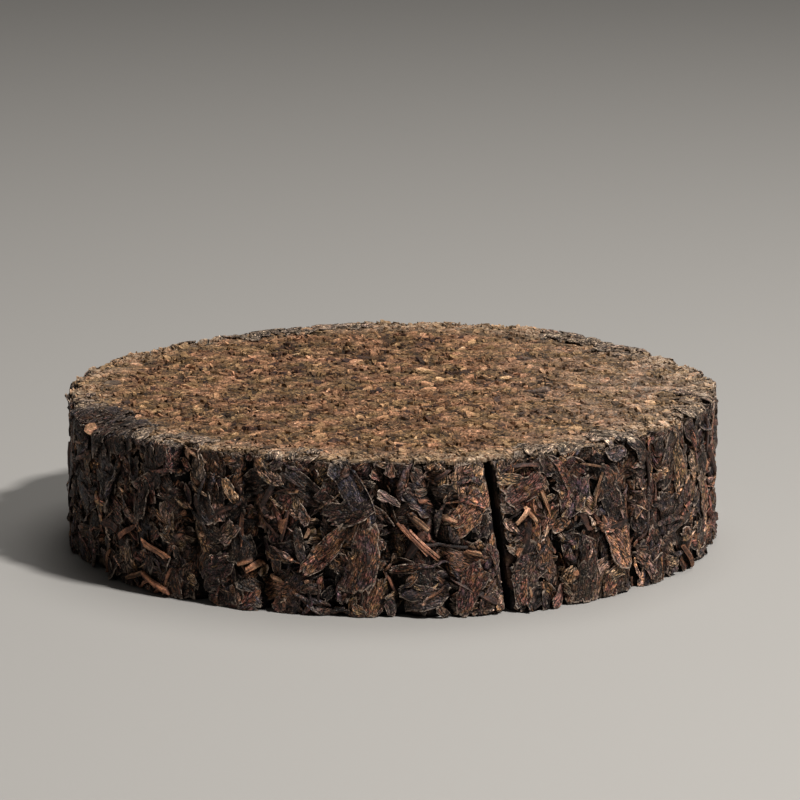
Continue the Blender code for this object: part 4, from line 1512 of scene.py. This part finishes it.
@dataclass
class Strands:
    """Long narrow pieces: rolled leaves, stalks and strands of sawn fibre.

    Each is a tube whose oval section may turn along its length, on a gently waving path.
    """

    form: PressedForm
    name: str
    count: int
    length: tuple
    half_width: tuple
    flatness: tuple
    rings: int
    sides: int
    seed: int
    proud: tuple
    turn: tuple = (8.0, 48.0)
    twist: tuple = (-160.0, 160.0)
    wave: tuple = (-0.12, 0.12)
    arch: tuple = mm(-0.4, 0.7)
    taper: tuple = (0.3, 0.9)
    ridge: float = 0.12
    slant: float = 1.3
    tones: tuple = (0.0, 0.9)
    tone_bias: float = 1.3
    heights: tuple = (0.0, 1.0)
    shown: Sequence[Shown] = ()
    ends: Sequence[Shown] = ()
    studio: "Studio | None" = None
    solid_stalks: bool = False

    def from_solid(self) -> tuple:
        """The stalks of the solid itself, drawn as it draws them: places, lengths, half widths."""
        draw = random.Random(self.form.seed + 3)
        strips = self.form.strips(self.form.piece_edge)
        rows = []
        for number in range(34):
            left, right = strips[number * len(strips) // 34]
            line = draw.uniform(left, right)
            height = self.form.thickness * draw.uniform(0.12, 0.88)
            length, thickness = draw.uniform(7.0, 19.0) * MM, draw.uniform(1.8, 3.2) * MM
            turn, _, _ = draw.gauss(20.0, 48.0), draw.uniform(0.55, 0.9), draw.uniform(0.0, 0.5)
            rows.append((line, height, left, right, turn, length, 0.5 * thickness))
        columns = np.array(rows).T
        return SidePlaces(*columns[:5], np.ones(len(rows))), *columns[5:]

    def sections(self, scatter: Scatter, length: Array, half_width: Array) -> Arrays:
        """Each tube's own coordinates, with a middle point for each end after its rings.

        Along the tube t runs from -1 to 1. The section is an oval with a few ridges, turned by
        twist * t, narrowed towards the ends and broken off at a slant.

        Args:
            scatter: the random draws.
            length: one for each tube.
            half_width: one for each tube.

        Returns:
            Distances along, across and up, each of shape (tubes, points, 1).
        """
        total, rng = len(length), scatter.rng
        one = lambda limits: per_piece(scatter.between(total, limits))
        t = np.linspace(-1.0, 1.0, self.rings)[:, None]
        angle = 2.0 * np.pi * np.arange(self.sides) / self.sides
        radius = per_piece(half_width) * (1.0 + self.ridge * np.cos(3.0 * angle + one((0.0, 6.0))))
        radius = radius * (1.0 + rng.normal(0.0, 0.08, (total, self.rings, 1)))
        narrow = one(self.taper)
        radius = radius * (narrow + (1.0 - narrow) * (1.0 - np.abs(t) ** 2.5))
        x, y = radius * np.cos(angle), radius * np.sin(angle) * one(self.flatness)
        across, up = turned(x, y, np.radians(one((-30.0, 30.0)) + one(self.twist) * t))
        slant = one((-self.slant, self.slant)) * np.sign(t) * (np.abs(t) > 0.99)
        along = 0.5 * per_piece(length) * t + slant * across
        across = across + one(self.wave) * per_piece(length) * np.sin(2.4 * t + one((0.0, 6.0)))
        up = up + one(self.arch) * (1.0 - t * t)
        both_ends = lambda values: values[:, [0, -1]].mean(axis=2)
        joined = ([values.reshape(total, -1), both_ends(values)] for values in (along, across, up))
        return tuple(np.concatenate(parts, axis=1)[..., None] for parts in joined)

    def pieces(self) -> Pieces:
        """Makes every tube on the side: scattered ones, the solid's own and those the photograph shows."""
        scatter = Scatter(self.form, self.seed)
        draws = ((self.length, 1.5), (self.half_width, 1.4), (self.proud,), (self.tones, self.tone_bias))
        places = scatter.on_side(self.count, self.turn, self.heights)
        rows = [places, *scatter.each(self.count, *draws)]
        if self.solid_stalks:
            own = self.from_solid()
            own_draws = scatter.each(len(own[1]), (self.proud,), ((0.0, 0.4),))
            rows = joined_rows((*own, *own_draws), rows)
        if self.shown:
            rows = joined_rows(rows, scatter.where_shown(self.studio, self.shown, 0.42))
        places, length, half_width, proud, tone = rows
        along, across, up = self.sections(scatter, length, half_width)
        points = places.lay(self.form, along, across, up + per_piece(proud))[:, :, 0]
        if self.ends:
            points, along, tone = self.with_ends(scatter, points, along, tone)
        return self.joined(scatter, points, along, tone)

    def with_ends(self, scatter: Scatter, points: Array, along: Array, tone: Array) -> tuple:
        """Adds stalks that point at the camera, so that their broken ends show.

        Args:
            scatter: the random draws.
            points: the lying tubes' points.
            along: their lengthwise coordinates.
            tone: their tones.

        Returns:
            The same three with the new stalks after them.
        """
        places, length, half_width, proud, tones = scatter.where_shown(self.studio, self.ends, 0.5)
        blunt = replace(self, flatness=(0.75, 1.0), ridge=0.09, slant=0.4, taper=(0.9, 1.0), wave=(0.0, 0.0))
        out, across, up = blunt.sections(scatter, length, half_width)
        still = np.zeros((len(length), 1, 1))
        tips = places.lay(self.form, still, still, still)[:, :, 0]
        _, looking, upwards = self.studio.axes()
        back = 0.5 * per_piece(length) - out - per_piece(proud)
        added = tips + back * looking + across * np.cross(looking, upwards) + up * upwards
        return tuple(np.concatenate(both) for both in ((points, added), (along, out), (tone, tones)))

    def joined(self, scatter: Scatter, points: Array, along: Array, tone: Array) -> Pieces:
        """Gathers the tubes, with each one's tone and its own lengthwise coordinates."""
        total, size = points.shape[:2]
        everywhere = np.zeros((total, size))
        side = np.concatenate([np.tile(np.arange(self.sides), self.rings), [0.0, 0.0]])
        own = scatter.rng.random((total, 1)) * 0.7
        layers = {
            "blade": np.stack([along[..., 0] + own, side * 0.5 * MM + own, own + everywhere], -1),
            "tone": tone[:, None] + everywhere,
            "shade": scatter.rng.random((total, 1)) + everywhere,
            "edge": everywhere,
        }
        return Pieces(self.name, points, *tube_faces(self.rings, self.sides), layers, 60.0)


def top_places(form: PressedForm, scatter: Scatter, count: int, rim_share: float, rim_band: float) -> tuple:
    """Places on the top, a share of them near the rim, and the rest spread evenly.

    Args:
        form: the slice.
        scatter: the random draws.
        count: how many.
        rim_share: the share that lies near the rim.
        rim_band: how wide that band is.

    Returns:
        Places of shape (count, 2), and the rim's radius at each one's bearing.
    """
    shares = scatter.shares(count)
    bearing = 360.0 * shares[:, 0]
    line = form.line_through(bearing, form.thickness)
    limit = form.side_radius(line, form.thickness) + scatter.between(count, mm(-0.4, 0.7))
    limit = limit - 0.75 * form.worn_width(bearing)
    inner = (limit - rim_band) / limit
    near_rim = scatter.rng.random(count) < rim_share
    share = np.where(near_rim, inner + (1.0 - inner) * shares[:, 1], np.sqrt(shares[:, 1]))
    return form.on_circle(bearing, limit * share, 0.0)[:, :2], limit


@dataclass
class TopStrands(Strands):
    """Strands of sawn fibre matted on the top, many of them along the rim."""

    rim_share: float = 0.5
    rim_band: float = 9.0 * MM

    def pieces(self) -> Pieces:
        """Makes every tube on the top: its middle at a place, turned to a random heading."""
        scatter = Scatter(self.form, self.seed)
        draws = ((self.length, 1.5), (self.half_width, 1.4), (self.tones,))
        length, half_width, tone = scatter.each(self.count, *draws)
        along, across, up = (values[..., 0] for values in self.sections(scatter, length, half_width))
        centre, limit = top_places(self.form, scatter, self.count, self.rim_share, self.rim_band)
        heading = scatter.rng.uniform(0.0, 2.0 * math.pi, (self.count, 1))
        x, y = centre.T[..., None] + turned(along, across, heading)
        reach = np.hypot(x, y)
        over = np.maximum(reach - limit[:, None], 0.0)
        inward = (reach - over) / reach
        proud = scatter.between(self.count, self.proud)[:, None]
        z = self.form.top_level(*centre.T)[:, None] + proud + up - 0.8 * over
        points = np.stack([x * inward, y * inward, z], -1)
        return self.joined(scatter, points, along[..., None], tone)


@dataclass
class Chips:
    """Chips of stalk and leaf in the sawn top, tilted, with more pale ones round one spot.

    Their tone drifts over the top by noise. A rare chip is pale or dark, and larger.
    """

    form: PressedForm
    name: str = "sawn_chips"
    count: int = 7800
    radius: tuple = mm(0.5, 2.7)
    squeeze: tuple = (0.26, 0.8)
    proud: tuple = mm(0.0, 0.65)
    tilt: float = 0.24
    drift: float = 0.22
    sunk: float = 0.8 * MM
    pale_middle: tuple = mm(22.0, 5.0)
    pale_reach: float = 38.0 * MM
    pale_rise: float = 0.02
    rare: tuple = (0.05, 0.12, 0.08)
    rare_size: float = 1.45
    rim_share: float = 0.14
    rim_band: float = 6.0 * MM
    sides: int = 6
    seed: int = 51

    def from_solid(self) -> tuple:
        """The chips of the solid itself, drawn as it draws them: middles, limits, sizes and turns."""
        draw = random.Random(self.form.seed + 4)
        rows = []
        for _ in range(56):
            bearing = draw.uniform(0.0, 360.0)
            distance = (self.form.radius - 8.0 * MM) * math.sqrt(draw.random())
            size = draw.uniform(1.6, 3.6) * MM
            squeeze, proud = draw.uniform(0.4, 0.9), draw.uniform(0.4, 0.9) * MM
            rows.append((bearing, distance, size, squeeze, proud, draw.uniform(0.0, 360.0)))
        bearing, distance, *sizes = np.array(rows).T
        centre = self.form.on_circle(bearing, distance, 0.0)[:, :2]
        return centre, np.full(len(rows), self.form.radius - 2.0 * MM), *sizes

    def pieces(self) -> Pieces:
        """Makes every chip as a plate: ragged corners on an oval, tilted, with its foot in the top.

        Returns:
            The chips, with each one's tone and shade.
        """
        scatter = Scatter(self.form, self.seed)
        rng = scatter.rng
        draws = ((self.radius, 2.2), (self.squeeze,), (self.proud, 1.6), ((0.0, 360.0),))
        places = top_places(self.form, scatter, self.count, self.rim_share, self.rim_band)
        both = zip(self.from_solid(), (*places, *scatter.each(self.count, *draws)))
        centre, limit, size, squeeze, proud, heading = map(np.concatenate, both)
        total = len(size)
        away = np.hypot(*(centre - self.pale_middle).T)
        inside = np.exp(-((away / self.pale_reach) ** 2))
        draw = rng.random(total)
        is_pale, is_dark = draw < self.rare[0] + self.rare[1] * inside, draw > 1.0 - self.rare[2]
        size = np.where(is_pale | is_dark, (self.rare_size + 0.4 * inside) * size, size)
        drift = self.drift * Grain(self.seed + 1).layered(np.pad(centre, ((0, 0), (0, 1))), 11.0 * MM, 2)
        tone = np.clip(rng.normal(0.41, 0.15, total) + drift + self.pale_rise * inside, 0.0, 0.75)
        pale, dark = rng.uniform(0.64, 0.84, total), rng.uniform(0.0, 0.16, total)
        tone = np.where(is_pale, pale, np.where(is_dark, dark, tone))
        steps = np.arange(self.sides) + rng.uniform(-0.28, 0.28, (total, self.sides))
        angle = 2.0 * np.pi * steps / self.sides
        reach = size[:, None] * rng.uniform(0.6, 1.15, (total, self.sides))
        x, y = reach * np.cos(angle), reach * np.sin(angle) * squeeze[:, None]
        lean = rng.normal(0.0, self.tilt, (total, 2))
        slope = np.clip(x * lean[:, :1] + y * lean[:, 1:], -0.5 * MM, 0.5 * MM)
        level = self.form.top_level(*centre.T)[:, None]
        heights = (level + proud[:, None] + slope, level - self.sunk + 0.0 * slope)
        outline = np.array(turned(x, y, np.radians(heading)[:, None]))
        parts = []
        for shrink, height in zip((0.8, 1.0), heights):
            at = centre.T[..., None] + shrink * outline
            held_in = np.minimum(np.hypot(*at), limit[:, None]) / np.hypot(*at)
            parts.append(np.stack([*(at * held_in), height], -1))
        upper, lower = parts
        crown = rng.uniform(-0.2 * MM, 0.15 * MM, (total, 1, 1)) * [0.0, 0.0, 1.0]
        middle = upper.mean(axis=1, keepdims=True) + crown
        points = np.concatenate([upper, lower, middle, lower.mean(axis=1, keepdims=True)], axis=1)
        everywhere = np.zeros(points.shape[:2])
        layers = {"tone": tone[:, None] + everywhere, "shade": rng.random((total, 1)) + everywhere}
        return Pieces(self.name, points, *plate_faces(self.sides), layers, 22.0)


@dataclass
class Studio:
    """A pale table, soft lights and the photograph's camera."""

    target: tuple = (1.93 * MM, 0.0, 42.8 * MM)
    distance: float = 1.4
    elevation: float = 12.46
    lens: float = 203.4
    sensor: float = 36.0
    picture: float = 800.0
    floor_size: float = 6.0
    lamp_distance: float = 1.5

    def axes(self) -> Arrays:
        """The camera's place, its way of looking and its way up."""
        angle = math.radians(self.elevation)
        looking = np.array([0.0, math.cos(angle), -math.sin(angle)])
        up = np.array([0.0, math.sin(angle), math.cos(angle)])
        return np.array(self.target) - self.distance * looking, looking, up

    def line_and_height(self, form: PressedForm, x: float, y: float) -> tuple[float, float]:
        """The side's line and height under a pixel, where its ray meets the slice's cylinder.

        Args:
            form: the slice.
            x: pixels from the picture's left.
            y: pixels from the picture's top.

        Returns:
            The line in degrees and the height in metres.
        """
        place, looking, up = self.axes()
        focal = self.lens / self.sensor * self.picture
        half = 0.5 * self.picture
        ray = looking * focal + np.array([x - half, 0.0, 0.0]) + up * (half - y)
        flat, start = ray[:2], place[:2]
        a, b = flat @ flat, flat @ start
        reach = form.radius + form.bulge
        step = (-b - math.sqrt(max(b * b - a * (start @ start - reach**2), 0.0))) / a
        spot = place + step * ray
        height = float(np.clip(spot[2], 0.0, form.thickness))
        bearing = math.degrees(math.atan2(spot[0], -spot[1]))
        return form.line_through(bearing, height), height

    def floor(self) -> None:
        """The table, a little under the slice's base."""
        half = 0.5 * self.floor_size
        corners = half * np.array([[-1, -1, 0], [1, -1, 0], [1, 1, 0], [-1, 1, 0]], float)
        obj = new_mesh("table", corners, np.array([[0, 1, 2, 3]]), np.zeros((4, 2)), {}, 30.0)
        obj.data.materials.append(FloorFinish().material())

    def light(self, name: str, turn: float, rise: float, size: float, power: float, colour: Colour) -> None:
        """A square soft light that looks at the slice, turned to the right of the front and raised."""
        lamp = bpy.data.lights.new(name, "AREA")
        lamp.shape, lamp.size, lamp.energy, lamp.color = "SQUARE", size, power, colour
        obj = placed(name, lamp)
        angle, slope, away = math.radians(turn), math.radians(rise), self.lamp_distance
        flat, level = away * math.cos(slope), away * math.sin(slope)
        obj.location = (flat * math.sin(angle), -flat * math.cos(angle), level)
        obj.rotation_euler = (math.radians(90.0 - rise), 0.0, angle)

    def camera(self) -> None:
        """The camera, on the front, looking at its target from above by its elevation."""
        lens = bpy.data.cameras.new("camera")
        lens.lens, lens.sensor_width = self.lens, self.sensor
        obj = placed("camera", lens)
        obj.location = self.axes()[0]
        obj.rotation_euler = (math.radians(90.0 - self.elevation), 0.0, 0.0)
        bpy.context.scene.camera = obj

    def build(self) -> None:
        """Sets up the table, the lights, the sky and the camera."""
        self.floor()
        self.light("key", 50.0, 52.0, 0.15, 26.0, (1.0, 0.97, 0.93))
        self.light("overhead", 150.0, 72.0, 0.9, 8.5, (1.0, 0.97, 0.93))
        self.light("left_fill", -60.0, 30.0, 0.9, 0.04, (1.0, 0.95, 0.88))
        world = bpy.data.worlds.new("studio")
        world.use_nodes = True
        sky = world.node_tree.nodes["Background"].inputs
        sky["Color"].default_value = (0.95, 0.93, 0.9, 1.0)
        sky["Strength"].default_value = 0.05
        bpy.context.scene.world = world
        bpy.context.scene.view_settings.view_transform = "Standard"
        self.camera()


SHOWN_LEAVES = tuple(Shown(*row) for row in (
    (462, 562, 16, 8, -58, 0.54), (466, 475, 10, 8.5, 10, 0.74), (504, 478, 7.5, 3.4, -78, 0.7, 1.2),
    (445, 520, 8, 6, 60, 0.66), (580, 472, 12, 8, 70, 0.3), (556, 470, 15, 3.4, -34, 0.1, 1.3),
    (563, 474, 13, 3, -32, 0.4, 1.6), (614, 572, 7.5, 4.4, 70, 0.75, 1.1), (569, 574, 5, 3.6, 20, 0.83),
    (648, 562, 11, 3.6, -38, 0.54, 1.4), (680, 465, 13, 6.5, -30, 0.64, 1.2),
    (706, 488, 12, 8, -10, 0.68), (557, 604, 7, 4, 50, 0.54, 1.8), (231, 492, 8.5, 3.2, -35, 0.84, 1.3),
    (268, 472, 11, 4.4, -50, 0.75, 1.1), (200, 466, 7.5, 5, 20, 0.72), (206, 508, 9.5, 7, -20, 0.12),
    (229, 532, 7, 5, 30, 0.56, 1.3), (244, 549, 9, 7.5, 10, 0.02), (219, 569, 12, 8, 35, 0.12),
    (302, 546, 10.5, 3.2, 4, 0.1, 1.3), (327, 550, 17, 6.5, 22, 0.44, 1.7),
    (356, 527, 9, 7.5, 0, 0.54, 1.1), (361, 565, 10, 5, -55, 0.8), (360, 484, 4.2, 3.4, -40, 0.8, 0.8),
    (383, 502, 14, 4.5, -9, 0.66, 0.6), (391, 545, 15, 5, -8, 0.83, 0.4),
    (399, 588, 12, 4.5, -9, 0.66, 0.5), (520, 588, 9, 3, 12, 0.45), (494, 560, 10, 6, -15, 0.3),
    (630, 500, 13, 7, 15, 0.42), (178, 458, 8, 5, 10, 0.3, 1.1), (156, 458, 7, 6, -30, 0.12, 1.1),
    (112, 438, 9, 7, 20, 0.1, 1.1), (113, 462, 8, 6, 0, 0.2, 1.1), (138, 505, 9, 7, -20, 0.4, 1.1),
))

SHOWN_STALKS = tuple(Shown(*row) for row in (
    (78, 414, 5, 2.4, 80, 0.8, 1.6), (412, 538, 12.5, 1.3, -42, 0.62, 1.4),
    (418, 541, 14.5, 1.2, -44, 0.45, 1.2), (424, 543, 12, 1, -45, 0.96, 1.5),
    (420, 522, 5.8, 2, -50, 0.84, 1.6), (471, 550, 4.8, 1.8, -76, 0.8, 1.6),
    (445, 544, 12, 1, -84, 0.05, 1.4), (547, 508, 12.5, 1.9, -22, 0.74, 1.4),
    (521, 515, 6, 1.8, 42, 0.86, 1.5), (529, 513, 6, 1.5, -35, 0.8, 1.6),
    (517, 551, 2.6, 1.6, 30, 0.72, 1.5), (687, 558, 11, 2.2, -42, 0.6, 1.5),
    (660, 487, 8.5, 1.6, 28, 0.4, 1.6), (636, 587, 5, 1.6, -40, 0.5, 1.8),
    (163, 548, 9.5, 2.4, -68, 0.68, 1.6), (133, 530, 8, 1.8, 52, 0.5, 1.5),
    (247, 561, 4.5, 1.9, 70, 0.7, 1.7), (255, 566, 4.6, 2.4, 60, 0.72, 1.6),
    (309, 532, 2.8, 1.3, 18, 0.9, 2), (284, 523, 3.4, 3, 20, 0.72, 1.6), (141, 573, 9, 1.8, 66, 0.8, 1.4),
    (160, 580, 12, 2, -72, 0.58, 1.2), (150, 583, 8, 1.6, 60, 0.6, 1.4), (190, 452, 2.6, 2, 10, 0.9, 1.6),
    (596, 488, 10, 0.9, 12, 0.9, 2), (588, 464, 7, 0.9, -76, 0.88, 2), (437, 590, 6, 1.2, 60, 0.7, 1.4),
))

SHOWN_ENDS = tuple(Shown(*row) for row in (
    (90.8, 429, 12, 4.2, 0, 0.87, 8), (190, 452, 6, 2.2, 0, 0.85, 1.5), (183, 513, 6, 2, 0, 0.75, 1.3),
    (202, 534, 6, 1.8, 0, 0.8, 2.4), (307, 581, 6, 1.6, 0, 0.8, 1.4), (575, 573, 6, 2, 0, 0.7, 1.9),
))


def dress(obj: Object, material: Material) -> None:
    """Gives a piece its material, ties it to the slice and reports it."""
    obj.data.materials.append(material)
    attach(obj, BODY)
    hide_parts(NODE)
    log.info("%s: %d faces", obj.name, len(obj.data.polygons))


def on_the_side(form: PressedForm, studio: Studio) -> dict[str, list[Pieces]]:
    """Everything that is pressed into the side, under the name of its finish."""
    broad = Leaves(
        form, "broad_leaves", 530, mm(8.0, 18.0), (0.28, 0.62), rows=8, columns=9, seed=21,
        shown=SHOWN_LEAVES, studio=studio, solid_leaves=True,
    )
    small = Leaves(
        form, "small_leaves", 1500, mm(3.0, 9.0), (0.35, 0.8), rows=5, columns=6, seed=22,
        proud=mm(-0.3, 1.0), curled=0.5,
    )
    rim_scraps = Leaves(
        form, "rim_scraps", 520, mm(2.0, 5.5), (0.4, 0.9), rows=5, columns=4, seed=23,
        proud=mm(-0.4, 0.7), heights=(0.95, 1.0), tones=(0.1, 0.85),
    )
    rim_leaves = Leaves(
        form, "rim_leaves", 400, mm(4.0, 10.0), (0.4, 0.85), rows=6, columns=5, seed=24,
        proud=mm(-0.2, 1.7), tilt=0.9 * MM, pressed=mm(0.2, 1.8), turn=(0.0, 45.0),
        heights=(0.9, 1.2), tones=(0.0, 0.34), rare_share=0.0, over_rim=True,
    )
    rolled = Strands(
        form, "rolled_leaves", 760, mm(4.0, 14.0), mm(0.4, 1.4), (0.22, 0.55),
        rings=9, sides=6, seed=31, proud=mm(-0.2, 0.9), turn=(-4.0, 60.0),
        twist=(-110.0, 110.0), taper=(0.65, 1.05), tones=(0.0, 0.78),
    )
    stalks = Strands(
        form, "stalks", 230, mm(2.5, 10.0), mm(0.25, 0.8), (0.4, 0.85),
        rings=7, sides=8, seed=32, proud=mm(0.0, 1.0), twist=(-20.0, 20.0),
        wave=(-0.03, 0.03), taper=(0.7, 1.0), ridge=0.2, tone_bias=1.4,
        shown=SHOWN_STALKS, ends=SHOWN_ENDS, studio=studio, solid_stalks=True,
    )
    leafy = (broad, small, rim_scraps, rim_leaves, rolled)
    return {"leaf": [part.pieces() for part in leafy], "stalk": [stalks.pieces()]}


def on_the_top(form: PressedForm) -> list[Pieces]:
    """Everything that the saw left on the top."""
    matted = TopStrands(
        form, "top_strands", 1500, mm(1.2, 4.0), mm(0.12, 0.32), (0.5, 1.0),
        rings=4, sides=4, seed=41, proud=mm(0.0, 0.4), arch=mm(-0.3, 0.3), tones=(0.15, 0.9),
    )
    return [Chips(form).pieces(), matted.pieces()]


def main() -> None:
    """Builds every piece of the slice, then the studio round it."""
    logging.basicConfig(level=logging.INFO, format="%(message)s")
    form, studio = PressedForm(), Studio()
    side, top = on_the_side(form, studio), on_the_top(form)
    side_relief, top_relief = Relief(form, top=False), Relief(form, top=True)
    for pieces in itertools.chain(*side.values()):
        side_relief.add(pieces)
    for pieces in (*top, *side["leaf"]):
        top_relief.add(pieces)
    leaf, stalk, chip = LeafFinish().material(form), StalkFinish().material(), ChipFinish().material(form)
    dress(PressedCore(form).build(side_relief, top_relief), CoreFinish().material(form))
    for group, material in ((side["leaf"], leaf), (side["stalk"], stalk), (top, chip)):
        for pieces in group:
            hollow = top_relief.hollow(pieces.points)
            if group is not top:
                hollow = np.minimum(hollow, side_relief.hollow(pieces.points))
            # The hollow drives painted shade in hollows and painted highlights on ridges; the crumbled rim's
            # share takes the dust off leaves and darkens them as painted shade.
            pieces.layers |= {"hollow": hollow, "bare": form.bareness_and_shade(pieces.points)}
            dress(pieces.make(), material)
    studio.build()


if __name__ == "__main__":
    main()
